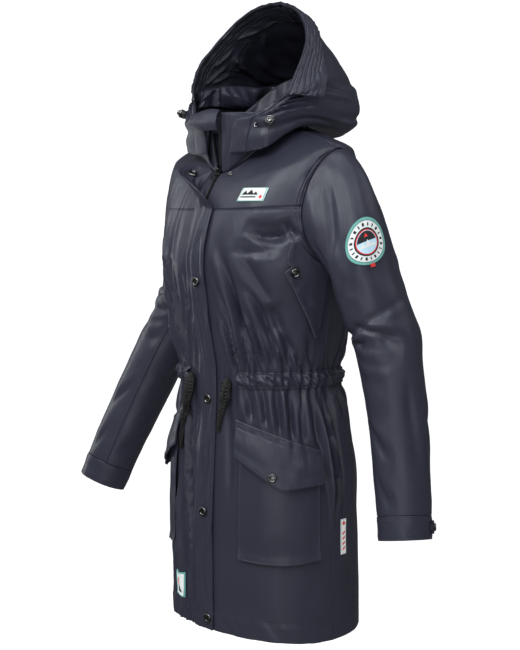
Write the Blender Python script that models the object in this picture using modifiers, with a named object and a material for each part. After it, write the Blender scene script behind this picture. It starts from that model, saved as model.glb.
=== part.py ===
"""Hooded raincoat for a woman, worn and filled out, with nobody in it.

The coat faces -Y and the wearer's left side is +X.  The origin is the middle of the neck opening, level with
the points where the shoulder seams meet the neckline, which is where the wearer's shoulders carry the coat.
Every cloth piece is a thin wall: points on a worked-out surface, and the same points moved along its normal.
"""

import math

import bmesh
import bpy
import numpy as np
from mathutils import Matrix, Vector

# ---------------------------------------------------------------------------------------------------------
# Driving dimensions, in metres
# ---------------------------------------------------------------------------------------------------------
CLOTH = 0.0016  # coated shell cloth with its backing
DOUBLE_CLOTH = 0.0026  # two layers sewn together: brim, flaps, straps
LINING = 0.0012
LINING_INSET = 0.0047
SEAM_GAP = 0.0006  # between the edges of two pieces that are sewn together
LAY_GAP = 0.0005  # under a piece that lies on another

FRONT_COLUMNS = 18  # cells round each front, and half of the back
YOKE_COLUMNS = 12
SLEEVE_COLUMNS = 16
SIDE = 0.25  # share of the way round, from the front middle, of the side seam
ARMPIT_ROW, YOKE_ROW, SHOULDER_ROW, NECK_ROW = 6.0, 8.0, 10.0, 12.0  # rows of BODY
ARMHOLE_FRONT, ARMHOLE_BACK = 0.078, 0.066  # half openings, as shares of the way round

ZIP_HALF = 0.0032  # half the width of the closed zip
TAPE_EDGE = (0.0008, 0.0040)  # gap beside the collar's edge, and width, of the open zip's tapes
FLAP_FIXED, FLAP_FREE = -0.020, 0.029  # storm flap's sewn and free edges, from the front middle
FLAP_TOP_OPEN, FLAP_TOP_SHUT = -0.080, -0.144  # between these heights the flap turns back
SNAP_RADIUS, STUD_RADIUS, CUFF_SNAP_RADIUS, POCKET_SNAP_RADIUS = 0.0078, 0.0050, 0.0062, 0.0065
SNAP_STAND = 0.0003  # between a snap and the cloth it is on
TOP_SNAP_STAND = 0.0008  # the same, where the cloth under it is curled
# Height of each snap on the storm flap, and how far across it the snap is.
FRONT_SNAPS = ((-0.257, 0.60), (-0.456, 0.62), (-0.648, 0.58), (-0.830, 0.78))
CASING_LOW, CASING_HIGH = -0.434, -0.406  # the waist casing
CASING_STARTS = {"left": 5, "right": 3}  # columns of the fronts where the drawstring leaves it

# Rings of the coat's body, hem to neck.  z: height at the front middle, the sides and the back middle.
# square: 2 is an ellipse, and more is squarer.
RING_SIZES = ("z_front", "z_side", "z_back", "half_width", "front", "back", "middle", "square")
BODY = {
    "hem": (-0.850, -0.862, -0.857, 0.174, 0.142, 0.148, 0.006, 2.25),
    "skirt": (-0.700, -0.700, -0.700, 0.173, 0.142, 0.146, 0.004, 2.25),
    "hip": (-0.580, -0.580, -0.580, 0.171, 0.136, 0.139, 0.002, 2.25),
    "belly": (-0.490, -0.490, -0.490, 0.159, 0.129, 0.124, 0.000, 2.25),
    "waist": (-0.420, -0.420, -0.420, 0.147, 0.127, 0.109, 0.000, 2.20),
    "ribs": (-0.335, -0.335, -0.335, 0.160, 0.141, 0.114, 0.000, 2.20),
    "armpit": (-0.228, -0.228, -0.228, 0.184, 0.154, 0.120, 0.000, 2.20),
    "chest": (-0.175, -0.180, -0.180, 0.190, 0.146, 0.119, 0.000, 2.25),
    "yoke": (-0.138, -0.130, -0.132, 0.193, 0.134, 0.116, 0.000, 2.30),
    "upper": (-0.113, -0.080, -0.085, 0.195, 0.122, 0.110, 0.000, 2.30),
    "shoulder": (-0.097, -0.040, -0.044, 0.191, 0.112, 0.101, 0.000, 2.25),
    "slope": (-0.086, -0.018, -0.012, 0.136, 0.104, 0.088, 0.000, 2.10),
    "neck": (-0.077, 0.000, 0.012, 0.080, 0.096, 0.070, 0.000, 2.00),
}
RISE = 1.6  # how sharply a ring rises or drops towards its front and back middles
ROWS_UNDER_CASING = (0, 0.8, 1.6, 2.3, 2.9, 3.4)
ROWS_OVER_CASING = (4.55, 5, 5.5, 6)
NECK_ROWS = (10.5, 11.1, 12)

# Sleeve centres down the left and right arms, with the half sizes of the tube round them.
SLEEVE_SIZES = ("x", "y", "z", "depth", "width")
LEFT_SLEEVE = {
    "upper_arm": (0.237, 0.006, -0.234, 0.066, 0.0460),
    "above_elbow": (0.250, 0.018, -0.290, 0.062, 0.0510),
    "elbow": (0.269, 0.028, -0.350, 0.056, 0.0510),
    "forearm": (0.294, 0.026, -0.450, 0.051, 0.0470),
    "lower": (0.315, 0.017, -0.558, 0.047, 0.0440),
    "cuff": (0.334, 0.005, -0.661, 0.044, 0.0410),
}
RIGHT_SLEEVE = {
    "upper_arm": (0.226, 0.031, -0.234, 0.062, 0.0440),
    "above_elbow": (0.238, 0.036, -0.288, 0.059, 0.0500),
    "elbow": (0.259, 0.026, -0.335, 0.056, 0.0525),
    "forearm": (0.295, -0.014, -0.440, 0.052, 0.0490),
    "lower": (0.327, -0.056, -0.550, 0.048, 0.0460),
    "cuff": (0.355, -0.092, -0.655, 0.045, 0.0430),
}
CAP_ROWS = (0, 0.12, 0.28, 0.46, 0.68, 1)
ARM_ROWS = (1.5, 2, 2.5, 3, 3.5, 4, 4.8, 5.64)
CUFF_ROWS = (5.64, 5.82, 6)
# The strap on each cuff: its two ends as degrees round the sleeve.
CUFF_TABS = {"left": (225.0, 342.0), "right": (285.0, 395.0)}
FRONT_SEAM, BACK_SEAM = 135.0, 225.0  # degrees round the sleeve, from its top towards the front

# The left half of the hood, from just over the neckline to the ridge, in millimetres.
HOOD = {
    # face edge, cheek, side, rear, back middle
    "roll": ((28, -99, -45), (98, -86, -40), (120, -8, 0), (92, 106, -8), (0, 142, -14)),
    "chin": ((42, -95.5, 10), (108, -82, 8), (130, -8, 22), (112, 116, 10), (0, 170, 10)),
    "jaw": ((66, -90, 11.5), (116, -72, 30), (131, 0, 42), (113, 120, 34), (0, 180, 38)),
    "cheek": ((98, -70, 40), (123, -50, 52), (131, 4, 62), (111, 121, 54), (0, 182, 58)),
    "ear": ((122, -53, 70), (128, -25, 78), (130, 12, 85), (105, 120, 78), (0, 178, 80)),
    "temple": ((123.6, -38, 100), (125.5, -10, 104), (122, 26, 108), (95, 112, 102), (0, 163, 102)),
    "brow": ((109, -2, 150), (107, 18, 151), (100, 44, 152), (71, 92, 149), (0, 120, 150)),
    "crown": ((78.5, 21, 190), (75, 42, 186), (67, 64, 180), (45, 82, 174), (0, 100, 172)),
    "roof": ((47, 31, 210), (44, 50, 204), (39, 71, 196), (25, 84, 188), (0, 94, 184)),
    "ridge": ((0, 43, 222), (0, 62, 211), (0, 83, 198), (0, 88, 195), (0, 92, 191)),
}
HOOD_START = 0.044  # from the front middle, as a share of the way round, where the hood is sewn on
HOOD_TILT = 0.12  # the hood hangs over to the wearer's left by this slope
HOOD_ROWS = (0, 0.5, 1, 1.5, 2, 2.5, 3, 3.6, 4.3, 5, 5.8, 6.6, 7.5, 8.7, 10)
HOOD_ACROSS = (0, 0.45, 0.9, 1.4, 2, 2.35, 2.7, 3.05, 3.5, 4)
BRIM_START, BRIM_SLOPE, BRIM_WIDTH = 5.0, 0.5, 2.0  # rows and columns of the hood that the brim covers
BRIM_STAND = 0.007  # how far the brim's back edge stands off the hood at its ends
CHANNEL_WIDTH, CHANNEL_GAP = 0.45, 0.0009  # of the drawcord channel along the face edge

COLLAR_RINGS = {
    "seam": (-0.0762, 0.0008, 0.0128, 0.0796, 0.0956, 0.0696, 0.000, 2.0),
    "low": (-0.046, 0.008, 0.038, 0.0800, 0.0963, 0.0715, 0.000, 2.0),
    "high": (-0.014, 0.014, 0.064, 0.0808, 0.0968, 0.0745, 0.000, 2.0),
    "top": (0.022, 0.020, 0.090, 0.0815, 0.0972, 0.0775, 0.000, 2.0),
}
GUARD_SPAN, GUARD_INSET = (-0.042, 0.014), 0.0036  # the zip guard behind the collar's opening
COLLAR_LEFT_EDGE = 0.0050  # from the front middle
COLLAR_RIGHT_EDGE = (0.0050, 0.0340)  # at the neck seam and at the top, where the zip is open
# The top right corner of the collar, turned over outwards: places along it, from the opening backwards.
TURNBACK = (
    # x; y and z where it leaves the collar's top edge, at the fold, and at its low edge
    (0.0060, -0.0985, 0.0250, -0.1010, 0.0270, -0.1060, -0.0050),
    (-0.0140, -0.0960, 0.0245, -0.1012, 0.0290, -0.1130, -0.0060),
    (-0.0340, -0.0900, 0.0236, -0.1010, 0.0280, -0.1145, -0.0040),
    (-0.0530, -0.0740, 0.0236, -0.1010, 0.0240, -0.1120, 0.0000),
    (-0.0700, -0.0500, 0.0236, -0.1020, 0.0170, -0.1070, 0.0050),
)

# Pieces on the fronts.  Columns are counted from the zip's edge to the side seam.
POCKET_COLUMNS = (5, 6, 7, 8, 9, 10, 11, 12, 13, 14, 15, 16)
POCKET_TOP, POCKET_BOTTOM = (-0.497, -0.544), (-0.718, -0.718)  # at the pocket's two sides
FLAP_TOP = (-0.486, -0.538)
FLAP_POINT = 0.50  # share of its width at which the flap is longest
FLAP_LENGTHS = (0.060, 0.085, 0.052)  # at its front, its point and its side
# The hand pocket's welt: each height, and the column its front edge reaches there.
WELT = ((-0.192, 15.3), (-0.206, 14.2), (-0.222, 13.0), (-0.240, 11.6), (-0.262, 12.7), (-0.288, 13.9),
        (-0.314, 15.1), (-0.340, 16.2))
WELT_SIDE = 16.8
HAND_SNAP = (12.4, -0.240)  # column and height
POCKET_SNAP_COLUMN, POCKET_SNAP_RISE = 9.5, 0.020  # the rise is from the flap's point

FLAP_TOP_ROWS = (7.4, 8.5, 9.2, 10.2, 10.8, 11.5, 11.8)
SEWN_STAND, FLAP_STAND = 0.0018, 0.0032  # from the panels to the middle of the flap's wall, at its seam and past it
FLAP_TURN = 150.0  # degrees that its top end is turned back
TOP_SNAP = (0.50, 10.45)  # share across and row, on the inner face of the turned-back end
FLAP_STUD = (0.031, 11.35)  # the half of it on the left yoke: distance from the front middle, and row
SLIDER_ROW = 11.85
PULL_WIDTH, PULL_LENGTH = 0.0050, 0.0230
PATCH_STAND = 0.0012  # under the patch pockets
WELT_STAND = 0.0014
HOOD_CORD = 0.0030
# Where the hood's cord comes out, across and row of the hood, and where its stopper lies, with its stand too.
HOOD_EYELETS = {"left": (0.62, 1.75), "right": (0.62, 2.35)}
HOOD_STOPS = {"left": (1.05, 1.93, 0.0060), "right": (1.05, 2.75, 0.0070)}
STOP_RADIUS, STOP_LENGTH = 0.0075, 0.0130
BUTTON_RADIUS, BUTTON_TRAVEL = 0.0040, 0.0030
# Free ends of the waist drawstring.
LEFT_WAIST_CORD = (
    # distance from the front middle, height, stand off the cloth, radius
    (0.0537, -0.4180, 0.0008, 0.0070),
    (0.0530, -0.4380, 0.0020, 0.0085),
    (0.0480, -0.4620, 0.0020, 0.0070),
    (0.0415, -0.4850, 0.0015, 0.0045),
    (0.0370, -0.5090, 0.0010, 0.0030),
)
RIGHT_WAIST_CORD = (
    # the same four
    (0.0312, -0.4150, 0.0008, 0.0060),
    (0.0335, -0.4400, 0.0020, 0.0080),
    (0.0400, -0.4650, 0.0020, 0.0070),
    (0.0540, -0.5000, 0.0015, 0.0050),
    (0.0660, -0.5510, 0.0010, 0.0035),
)
BADGE_TURN, BADGE_ROW, BADGE_RADIUS = 20.0, 0.83, 0.036  # the sleeve badge's middle and size

PATCH_CLOTH, PATCH_LIFT = 0.0012, 0.0007
PATCHES = {
    # heights, distances from the front middle, how far the top leans, stand off the cloth
    "chest_patch": ((-0.1255, -0.1035), (0.075, 0.127), 0.005, PATCH_LIFT),
    "side_tag": ((-0.719, -0.659), (0.2720, 0.286), 0.000, 0.0009),
    "hem_badge": ((-0.812, -0.768), (-0.084, -0.054), 0.000, 0.0018),
}

MATERIALS = {
    # name: colour, roughness, metallic
    "shell": ((0.040, 0.044, 0.060), 0.48, 0.0),
    "lining": ((0.012, 0.013, 0.019), 0.60, 0.0),
    "zip": ((0.010, 0.010, 0.012), 0.45, 0.0),
    "metal": ((0.080, 0.080, 0.078), 0.30, 1.0),
    "toggle": ((0.020, 0.020, 0.022), 0.25, 0.3),
    "elastic": ((0.009, 0.009, 0.009), 0.75, 0.0),
    "patch": ((0.720, 0.740, 0.720), 0.85, 0.0),
}


# ---------------------------------------------------------------------------------------------------------
# Reading the tables
# ---------------------------------------------------------------------------------------------------------
def slopes(values):
    """Slopes at values 0, 1, 2, ... along the first axis, such that the cubic never overshoots them."""
    step = np.diff(values, axis=0)
    together, total = step[:-1] * step[1:], step[:-1] + step[1:]
    middle = np.where(together > 0, 2 * together / np.where(total == 0, 1, total), 0)
    return np.concatenate([step[:1], middle, step[-1:]])


def cubic(start, end, leave, arrive, f):
    """The point at f, from 0 to 1, on a cubic with these ends and end slopes."""
    return (
        start * (1 + 2 * f) * (1 - f) ** 2
        + leave * f * (1 - f) ** 2
        + end * f * f * (3 - 2 * f)
        - arrive * f * f * (1 - f)
    )


def spline(values, at):
    """The cubic through values at 0, 1, 2, ... read at the places in at."""
    values, at = np.asarray(values, float), np.asarray(at, float)
    slope = slopes(values)
    i = np.clip(np.floor(at).astype(int), 0, len(values) - 2)
    f = (at - i).reshape(at.shape + (1,) * (values.ndim - 1))
    return cubic(values[i], values[i + 1], slope[i], slope[i + 1], f)


def smooth(low, high, x):
    """0 below low, 1 above high, and a soft step between them."""
    t = np.clip((np.asarray(x, float) - low) / (high - low), 0, 1)
    return t * t * (3 - 2 * t)


def unit(vectors):
    return vectors / np.linalg.norm(vectors, axis=-1, keepdims=True)


def grid_of(columns, rows):
    """Two grids that pair every column with every row."""
    columns, rows = np.asarray(columns, float), np.asarray(rows, float)
    return np.repeat(columns[None, :], len(rows), 0), np.repeat(rows[:, None], len(columns), 1)


def ring(rings, around, row):
    """A point on a stack of rings: around is 0 at the front middle, 0.25 at the wearer's left, 0.5 behind."""
    around, row = np.broadcast_arrays(np.asarray(around, float), np.asarray(row, float))
    size = dict(zip(RING_SIZES, np.moveaxis(spline(list(rings.values()), row), -1, 0)))
    angle = 2 * math.pi * around
    across, along = np.sin(angle), np.cos(angle)
    x = size["half_width"] * np.sign(across) * np.abs(across) ** (2 / size["square"])
    deep = np.where(along > 0, size["front"], size["back"])
    y = size["middle"] - deep * np.sign(along) * np.abs(along) ** (2 / size["square"])
    ahead, behind = np.clip(along, 0, 1) ** RISE, np.clip(-along, 0, 1) ** RISE
    z_side = size["z_side"]
    z = z_side + (size["z_front"] - z_side) * ahead + (size["z_back"] - z_side) * behind
    return np.stack([x, y, z], -1)


def surface(function, around, row, small=1e-4):
    """Points and outward normals of a surface function of (around, row)."""
    across = function(around + small, row) - function(around - small, row)
    up = function(around, row + small) - function(around, row - small)
    return function(around, row), unit(np.cross(across, up))


def body(around, row):
    return ring(BODY, around, row)


def collar(around, row):
    return ring(COLLAR_RINGS, around, row)


def around_at(distance, row, function=body):
    """The share of the way round at which the ring is this far from its front middle, along the cloth."""
    steps = np.linspace(0, 0.5, 400)
    line = function(steps, np.full_like(steps, row))
    length = np.concatenate([[0], np.cumsum(np.linalg.norm(np.diff(line, axis=0), axis=1))])
    return float(np.sign(distance) * np.interp(abs(distance), length, steps))


def row_at(height, around=0.0):
    """The row of the body at which its surface has this height."""
    low, high = 0.0, NECK_ROW
    for _ in range(40):
        middle = (low + high) / 2
        if body(np.array(around), np.array(middle))[2] < height:
            low = middle
        else:
            high = middle
    return (low + high) / 2


def grid_normals(points):
    """Normals of a grid of points, from its neighbours."""
    return unit(np.cross(np.gradient(points, axis=1), np.gradient(points, axis=0)))


# ---------------------------------------------------------------------------------------------------------
# Folds, as distances along the surface's normal
# ---------------------------------------------------------------------------------------------------------
def fold_lift(table, sideways, upright, wrap, scale):
    """The lift of a table of folds at a place.  wrap is one turn round, and scale is metres to one unit."""
    total = np.zeros(np.broadcast(sideways, upright).shape)
    for start_side, start_up, end_side, end_up, width, depth in table:
        across = (np.mod(sideways - start_side + wrap / 2, wrap) - wrap / 2) * scale[0]
        along = (upright - start_up) * scale[1]
        line = np.array([(end_side - start_side) * scale[0], (end_up - start_up) * scale[1]])
        length = np.linalg.norm(line)
        line /= length
        share = np.clip((across * line[0] + along * line[1]) / length, 0, 1)
        off = across * line[1] - along * line[0]
        total += depth * np.sin(math.pi * share) ** 0.7 * np.exp(-((off / width) ** 2))
    return total


# from_around, from_height, to_around, to_height, width, depth
BODY_FOLDS = (
    (0.062, -0.270, 0.078, -0.385, 0.011, -0.0055),
    (0.088, -0.262, 0.104, -0.385, 0.012, -0.0055),
    (0.120, -0.205, 0.150, -0.178, 0.020, -0.0050),
    (0.945, -0.150, 0.915, -0.300, 0.013, 0.0050),
    (0.935, -0.215, 0.900, -0.390, 0.013, -0.0060),
    (0.905, -0.240, 0.875, -0.400, 0.013, 0.0050),
    (0.865, -0.230, 0.840, -0.380, 0.014, -0.0050),
    (0.950, -0.560, 0.930, -0.800, 0.014, 0.0055),
    (0.930, -0.450, 0.905, -0.700, 0.013, -0.0050),
    (0.252, -0.450, 0.256, -0.640, 0.014, -0.0060),
    (0.290, -0.440, 0.300, -0.700, 0.020, 0.0060),
    (0.330, -0.440, 0.345, -0.600, 0.020, -0.0060),
    (0.400, -0.460, 0.410, -0.720, 0.022, 0.0070),
    (0.450, -0.440, 0.460, -0.600, 0.020, -0.0050),
    (0.560, -0.450, 0.550, -0.700, 0.022, -0.0060),
    (0.620, -0.450, 0.635, -0.720, 0.022, 0.0070),
    (0.690, -0.440, 0.700, -0.650, 0.020, -0.0060),
    (0.330, -0.380, 0.350, -0.230, 0.020, 0.0060),
    (0.420, -0.380, 0.400, -0.200, 0.022, -0.0060),
    (0.500, -0.380, 0.495, -0.240, 0.020, 0.0050),
    (0.585, -0.380, 0.600, -0.210, 0.022, 0.0060),
    (0.670, -0.380, 0.650, -0.240, 0.020, -0.0060),
)
# from_turn, from_row, to_turn, to_row, width, depth: turns in degrees round the sleeve
SLEEVE_FOLDS = (
    (62, 0.20, 70, 1.60, 0.013, -0.0050),
    (28, 0.10, 36, 2.10, 0.014, 0.0045),
    (92, 0.90, 98, 2.60, 0.014, 0.0040),
    (20, 3.25, 112, 3.02, 0.014, -0.0065),
    (112, 3.60, 40, 2.60, 0.014, 0.0050),
    (60, 4.50, 115, 4.90, 0.014, -0.0040),
    (325, 0.60, 332, 2.30, 0.016, -0.0045),
    (250, 2.70, 330, 3.10, 0.016, 0.0055),
    (165, 2.60, 215, 3.20, 0.016, -0.0060),
)
GATHER_DEPTH = 0.0028  # at the casing's edges
GATHER_REACH_UP, GATHER_REACH_DOWN = 0.070, 0.060
ROUND_THE_BODY = 1.0  # metres, near enough, for the folds


def column_of(around):
    """Columns of cloth from the front middle, 0 to twice FRONT_COLUMNS, either way round to the back middle."""
    folded = np.abs(np.mod(around + 0.5, 1) - 0.5)
    return folded / SIDE * FRONT_COLUMNS


def gathers(around, height):
    """Gathers above and below the waist casing: one ridge to every second column."""
    off = height - (CASING_LOW + CASING_HIGH) / 2
    reach = np.where(off > 0, GATHER_REACH_UP, GATHER_REACH_DOWN)
    beside_zip = smooth(2, 5, column_of(around))
    return GATHER_DEPTH * np.exp(-((off / reach) ** 2) * 2.2) * beside_zip * np.cos(math.pi * column_of(around))


def body_cloth(around, row):
    """Points of the coat's outside with its folds, and the normals of the plain surface under them."""
    around, row = np.broadcast_arrays(np.asarray(around, float), np.asarray(row, float))
    point, normal = surface(body, around, row)
    lift = fold_lift(BODY_FOLDS, around, point[..., 2], 1.0, (ROUND_THE_BODY, 1.0))
    lift = lift + gathers(around, point[..., 2])
    return point + normal * lift[..., None], normal


# ---------------------------------------------------------------------------------------------------------
# Making objects
# ---------------------------------------------------------------------------------------------------------
def clear_scene():
    for thing in list(bpy.data.objects):
        bpy.data.objects.remove(thing)


def make_materials():
    made = {}
    for name, (colour, roughness, metallic) in MATERIALS.items():
        material = bpy.data.materials.new(name)
        material.use_nodes = True
        shader = material.node_tree.nodes["Principled BSDF"]
        shader.inputs["Base Color"].default_value = (*colour, 1)
        shader.inputs["Roughness"].default_value = roughness
        shader.inputs["Metallic"].default_value = metallic
        made[name] = material
    return made


def new_collection(name):
    collection = bpy.data.collections.new(name)
    bpy.context.scene.collection.children.link(collection)
    return collection


def add(name, data, material, collection=None):
    thing = bpy.data.objects.new(name, data)
    data.materials.append(MADE[material])
    (collection or PARTS).objects.link(thing)
    return thing


def wall_between(name, outer, inner, material="shell", wrap=False):
    """A wall between two grids of points, with rows and columns counter-clockwise seen from outside.

    With wrap, its columns close into a tube that is open at both ends.
    """
    rows, columns = outer.shape[:2]
    count = rows * columns
    steps = columns if wrap else columns - 1
    faces = []

    def at(row, column, side):
        return side * count + row * columns + column % columns

    def quad(a, b, c, d):
        faces.extend([(a, b, c), (a, c, d)])

    for i in range(rows - 1):
        for j in range(steps):
            quad(at(i, j, 0), at(i, j + 1, 0), at(i + 1, j + 1, 0), at(i + 1, j, 0))
            quad(at(i, j, 1), at(i + 1, j, 1), at(i + 1, j + 1, 1), at(i, j + 1, 1))
    for j in range(steps):
        quad(at(0, j, 1), at(0, j + 1, 1), at(0, j + 1, 0), at(0, j, 0))
        quad(at(rows - 1, j, 0), at(rows - 1, j + 1, 0), at(rows - 1, j + 1, 1), at(rows - 1, j, 1))
    if not wrap:
        last = columns - 1
        for i in range(rows - 1):
            quad(at(i, 0, 0), at(i + 1, 0, 0), at(i + 1, 0, 1), at(i, 0, 1))
            quad(at(i, last, 1), at(i + 1, last, 1), at(i + 1, last, 0), at(i, last, 0))
    mesh = bpy.data.meshes.new(name)
    mesh.from_pydata(np.concatenate([outer.reshape(-1, 3), inner.reshape(-1, 3)]).tolist(), [], faces)
    mesh.shade_smooth()
    mesh.set_sharp_from_angle(angle=math.radians(50))
    return add(name, mesh, material)


def wall(name, points, normals, low, high, material="shell", wrap=False):
    """A cloth wall between the points moved by low and by high along their normals."""
    low, high = (np.asarray(x, float)[..., None] for x in (low, high))
    return wall_between(name, points + normals * high, points + normals * low, material, wrap)


def turned(name, profile, place, axis, material, steps=8):
    """A turned piece: profile is (radius, height) from its top down to its foot, stood on place along axis."""
    mesh = bpy.data.meshes.new(name)
    edges = [(i, i + 1) for i in range(len(profile) - 1)]
    mesh.from_pydata([(radius, 0, height) for radius, height in profile], edges, [])
    thing = add(name, mesh, material)
    screw = thing.modifiers.new("turn", "SCREW")
    screw.steps = screw.render_steps = steps
    screw.use_merge_vertices = True
    screw.merge_threshold = 0.00005
    thing.rotation_mode = "QUATERNION"
    thing.rotation_quaternion = Vector(axis).to_track_quat("Z", "Y")
    thing.location = place
    return thing


def snap(name, place, axis, radius=SNAP_RADIUS, material="metal"):
    """The cap of a press snap: a low dome with a dished middle."""
    profile = (
        (0, 0.35 * radius),
        (0.45 * radius, 0.35 * radius),
        (0.70 * radius, 0.42 * radius),
        (radius, 0.18 * radius),
        (radius, 0),
        (0, 0),
    )
    return turned(name, profile, place, axis, material)


def tube(name, line, radii, material):
    """A cord: a poly curve through the points of line, with filled caps."""
    curve = bpy.data.curves.new(name, "CURVE")
    curve.dimensions = "3D"
    curve.bevel_depth = 1.0
    curve.bevel_resolution = 2
    curve.use_fill_caps = True
    points = curve.splines.new("POLY").points
    points.add(len(line) - 1)
    for slot, place, radius in zip(points, line, radii):
        slot.co = (*place, 1)
        slot.radius = radius
    return add(name, curve, material)


def cutter(name, mesh_maker, **sizes):
    """A hidden solid that another is joined to or cut by."""
    mesh = bpy.data.meshes.new(name)
    shape = bmesh.new()
    mesh_maker(shape, **sizes)
    shape.to_mesh(mesh)
    shape.free()
    thing = add(name, mesh, "metal", CUTTERS)
    thing.hide_render = True
    thing.display_type = "WIRE"
    return thing


def boolean(thing, other, operation):
    change = thing.modifiers.new(other.name, "BOOLEAN")
    change.operation = operation
    change.object = other


# ---------------------------------------------------------------------------------------------------------
# Fronts, yokes and back
# ---------------------------------------------------------------------------------------------------------
def armhole(turn):
    """A place of the armhole's edge on the body: turn is 0 at the shoulder, 90 in front and 180 underneath."""
    turn = np.radians(np.asarray(turn, float))
    row = ARMPIT_ROW + (SHOULDER_ROW - ARMPIT_ROW) * (1 + np.cos(turn)) / 2
    half = np.where(np.sin(turn) > 0, ARMHOLE_FRONT, ARMHOLE_BACK)
    return SIDE - half * np.sin(turn), row


def armhole_edge(row, half):
    """How far from the side line the armhole's edge is, at rows from the armpit to the shoulder."""
    share = np.clip((np.asarray(row, float) - ARMPIT_ROW) / (SHOULDER_ROW - ARMPIT_ROW), 0, 1)
    return half * np.sqrt(np.clip(1 - (2 * share - 1) ** 2, 0, 1))


TURN = 360.0 / SLEEVE_COLUMNS
LOW_ARMHOLE_ROWS = [float(armhole(turn)[1]) for turn in np.arange(180 - TURN, 90, -TURN)]
HIGH_ARMHOLE_ROWS = [float(armhole(turn)[1]) for turn in np.arange(90 - TURN, -1, -TURN)]
CASING_ROWS = [row_at(CASING_LOW), row_at(CASING_HIGH)]
UNDER_YOKE_ROWS = [*ROWS_UNDER_CASING, *CASING_ROWS, *ROWS_OVER_CASING, *LOW_ARMHOLE_ROWS, YOKE_ROW - 0.012]
ABOVE_YOKE_ROWS = [YOKE_ROW + 0.012, *HIGH_ARMHOLE_ROWS, *NECK_ROWS]


def front_around(column, row, side):
    """The share of the way round of a column of the fronts.  side is 1 at the wearer's left, -1 at the right."""
    start = np.vectorize(lambda r: around_at(ZIP_HALF + SEAM_GAP / 2, r))(row)
    end = SIDE - armhole_edge(row, ARMHOLE_FRONT) - SEAM_GAP / ROUND_THE_BODY
    return side * (start + (end - start) * column / FRONT_COLUMNS)


def front_cloth(column, row, side):
    """Points and normals of a front, straight between its columns as the panel is."""
    column, row = np.broadcast_arrays(np.asarray(column, float), np.asarray(row, float))
    lower = np.floor(np.clip(column, 0, FRONT_COLUMNS - 1e-9))
    share = (column - lower)[..., None]
    before, normal_before = body_cloth(front_around(lower, row, side), row)
    after, normal_after = body_cloth(front_around(lower + 1, row, side), row)
    points = before + (after - before) * share
    normals = unit(normal_before + (normal_after - normal_before) * share)
    if side < 0 and points.ndim == 3:
        points, normals = points[:, ::-1], normals[:, ::-1]
    return points, normals


def front_piece(name, columns, rows, side, low, high, material="shell"):
    """A piece on the grid of a front.  columns and rows may be lines or whole grids."""
    columns, rows = np.asarray(columns, float), np.asarray(rows, float)
    if columns.ndim == 1 and rows.ndim == 1:
        columns, rows = grid_of(columns, rows)
    points, normals = front_cloth(columns, rows, side)
    return wall(name, points, normals, low, high, material)


def make_fronts():
    columns = range(FRONT_COLUMNS + 1)
    yoke_columns = np.linspace(0, FRONT_COLUMNS, YOKE_COLUMNS + 1)
    for label, side in (("left", 1), ("right", -1)):
        front_piece(f"front_{label}", columns, UNDER_YOKE_ROWS, side, -CLOTH, 0)
        front_piece(f"yoke_{label}", yoke_columns, ABOVE_YOKE_ROWS, side, -CLOTH, 0)


def back_around(column, row):
    """The share of the way round of the back's columns, 0 at the wearer's left side seam."""
    start = SIDE + armhole_edge(row, ARMHOLE_BACK) + SEAM_GAP / ROUND_THE_BODY
    return start + (1 - 2 * start) * column / (2 * FRONT_COLUMNS)


def make_back():
    rows = sorted({*UNDER_YOKE_ROWS[:-1], YOKE_ROW, *ABOVE_YOKE_ROWS[1:]})
    columns, rows = grid_of(range(2 * FRONT_COLUMNS + 1), rows)
    points, normals = body_cloth(back_around(columns, rows), rows)
    wall("back", points, normals, -CLOTH, 0)


def make_casing():
    """The waist casing, on the panels' own columns, from one drawstring's exit round the back to the other's."""
    columns, grid_rows = grid_of(range(CASING_STARTS["left"], FRONT_COLUMNS + 1), CASING_ROWS)
    left = body_cloth(front_around(columns, grid_rows, 1), grid_rows)
    columns, grid_rows = grid_of(range(CASING_STARTS["right"], FRONT_COLUMNS + 1), CASING_ROWS)
    right = body_cloth(front_around(columns, grid_rows, -1), grid_rows)
    columns, grid_rows = grid_of(range(2 * FRONT_COLUMNS + 1), CASING_ROWS)
    behind = body_cloth(back_around(columns, grid_rows), grid_rows)
    points, normals = (
        np.concatenate([on_left, on_back, on_right[:, ::-1]], axis=1)
        for on_left, on_back, on_right in zip(left, behind, right)
    )
    wall("waist_casing", points, normals, LAY_GAP, LAY_GAP + CLOTH)


# ---------------------------------------------------------------------------------------------------------
# Sleeves, cuffs and their straps
# ---------------------------------------------------------------------------------------------------------
def sleeve(table, turn, row):
    """A point of a left sleeve: turn is degrees from its top towards the front, row 0 is the armhole."""
    turn, row = np.broadcast_arrays(np.asarray(turn, float), np.asarray(row, float))
    angle = np.radians(turn)
    centres = list(table.values())
    along = np.clip(row - 1, 0, None)
    size = dict(zip(SLEEVE_SIZES, np.moveaxis(spline(centres, along), -1, 0)))
    down = unit(spline(centres, along + 0.05)[..., :3] - spline(centres, along - 0.05)[..., :3])
    outward = unit(np.array([1.0, 0, 0]) - down * down[..., :1])
    forward = np.cross(outward, down)
    forward *= np.sign(-forward[..., 1:2])
    round_arm = outward * (size["width"] * np.cos(angle))[..., None]
    round_arm += forward * (size["depth"] * np.sin(angle))[..., None]
    tube_point = np.stack([size["x"], size["y"], size["z"]], -1) + round_arm
    start = body(*armhole(turn))
    high = ((1 + np.cos(angle)) / 2)[..., None]
    leave = high * np.array([1.0, 0, -0.30]) + (1 - high) * np.array([0.62, 0, -0.78])
    reach = np.linalg.norm(tube_point - start, axis=-1, keepdims=True)
    cap = cubic(start, tube_point, leave * reach * 0.85, down * reach * 0.85, np.clip(row, 0, 1)[..., None])
    return np.where(row[..., None] < 1, cap, tube_point)


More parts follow.
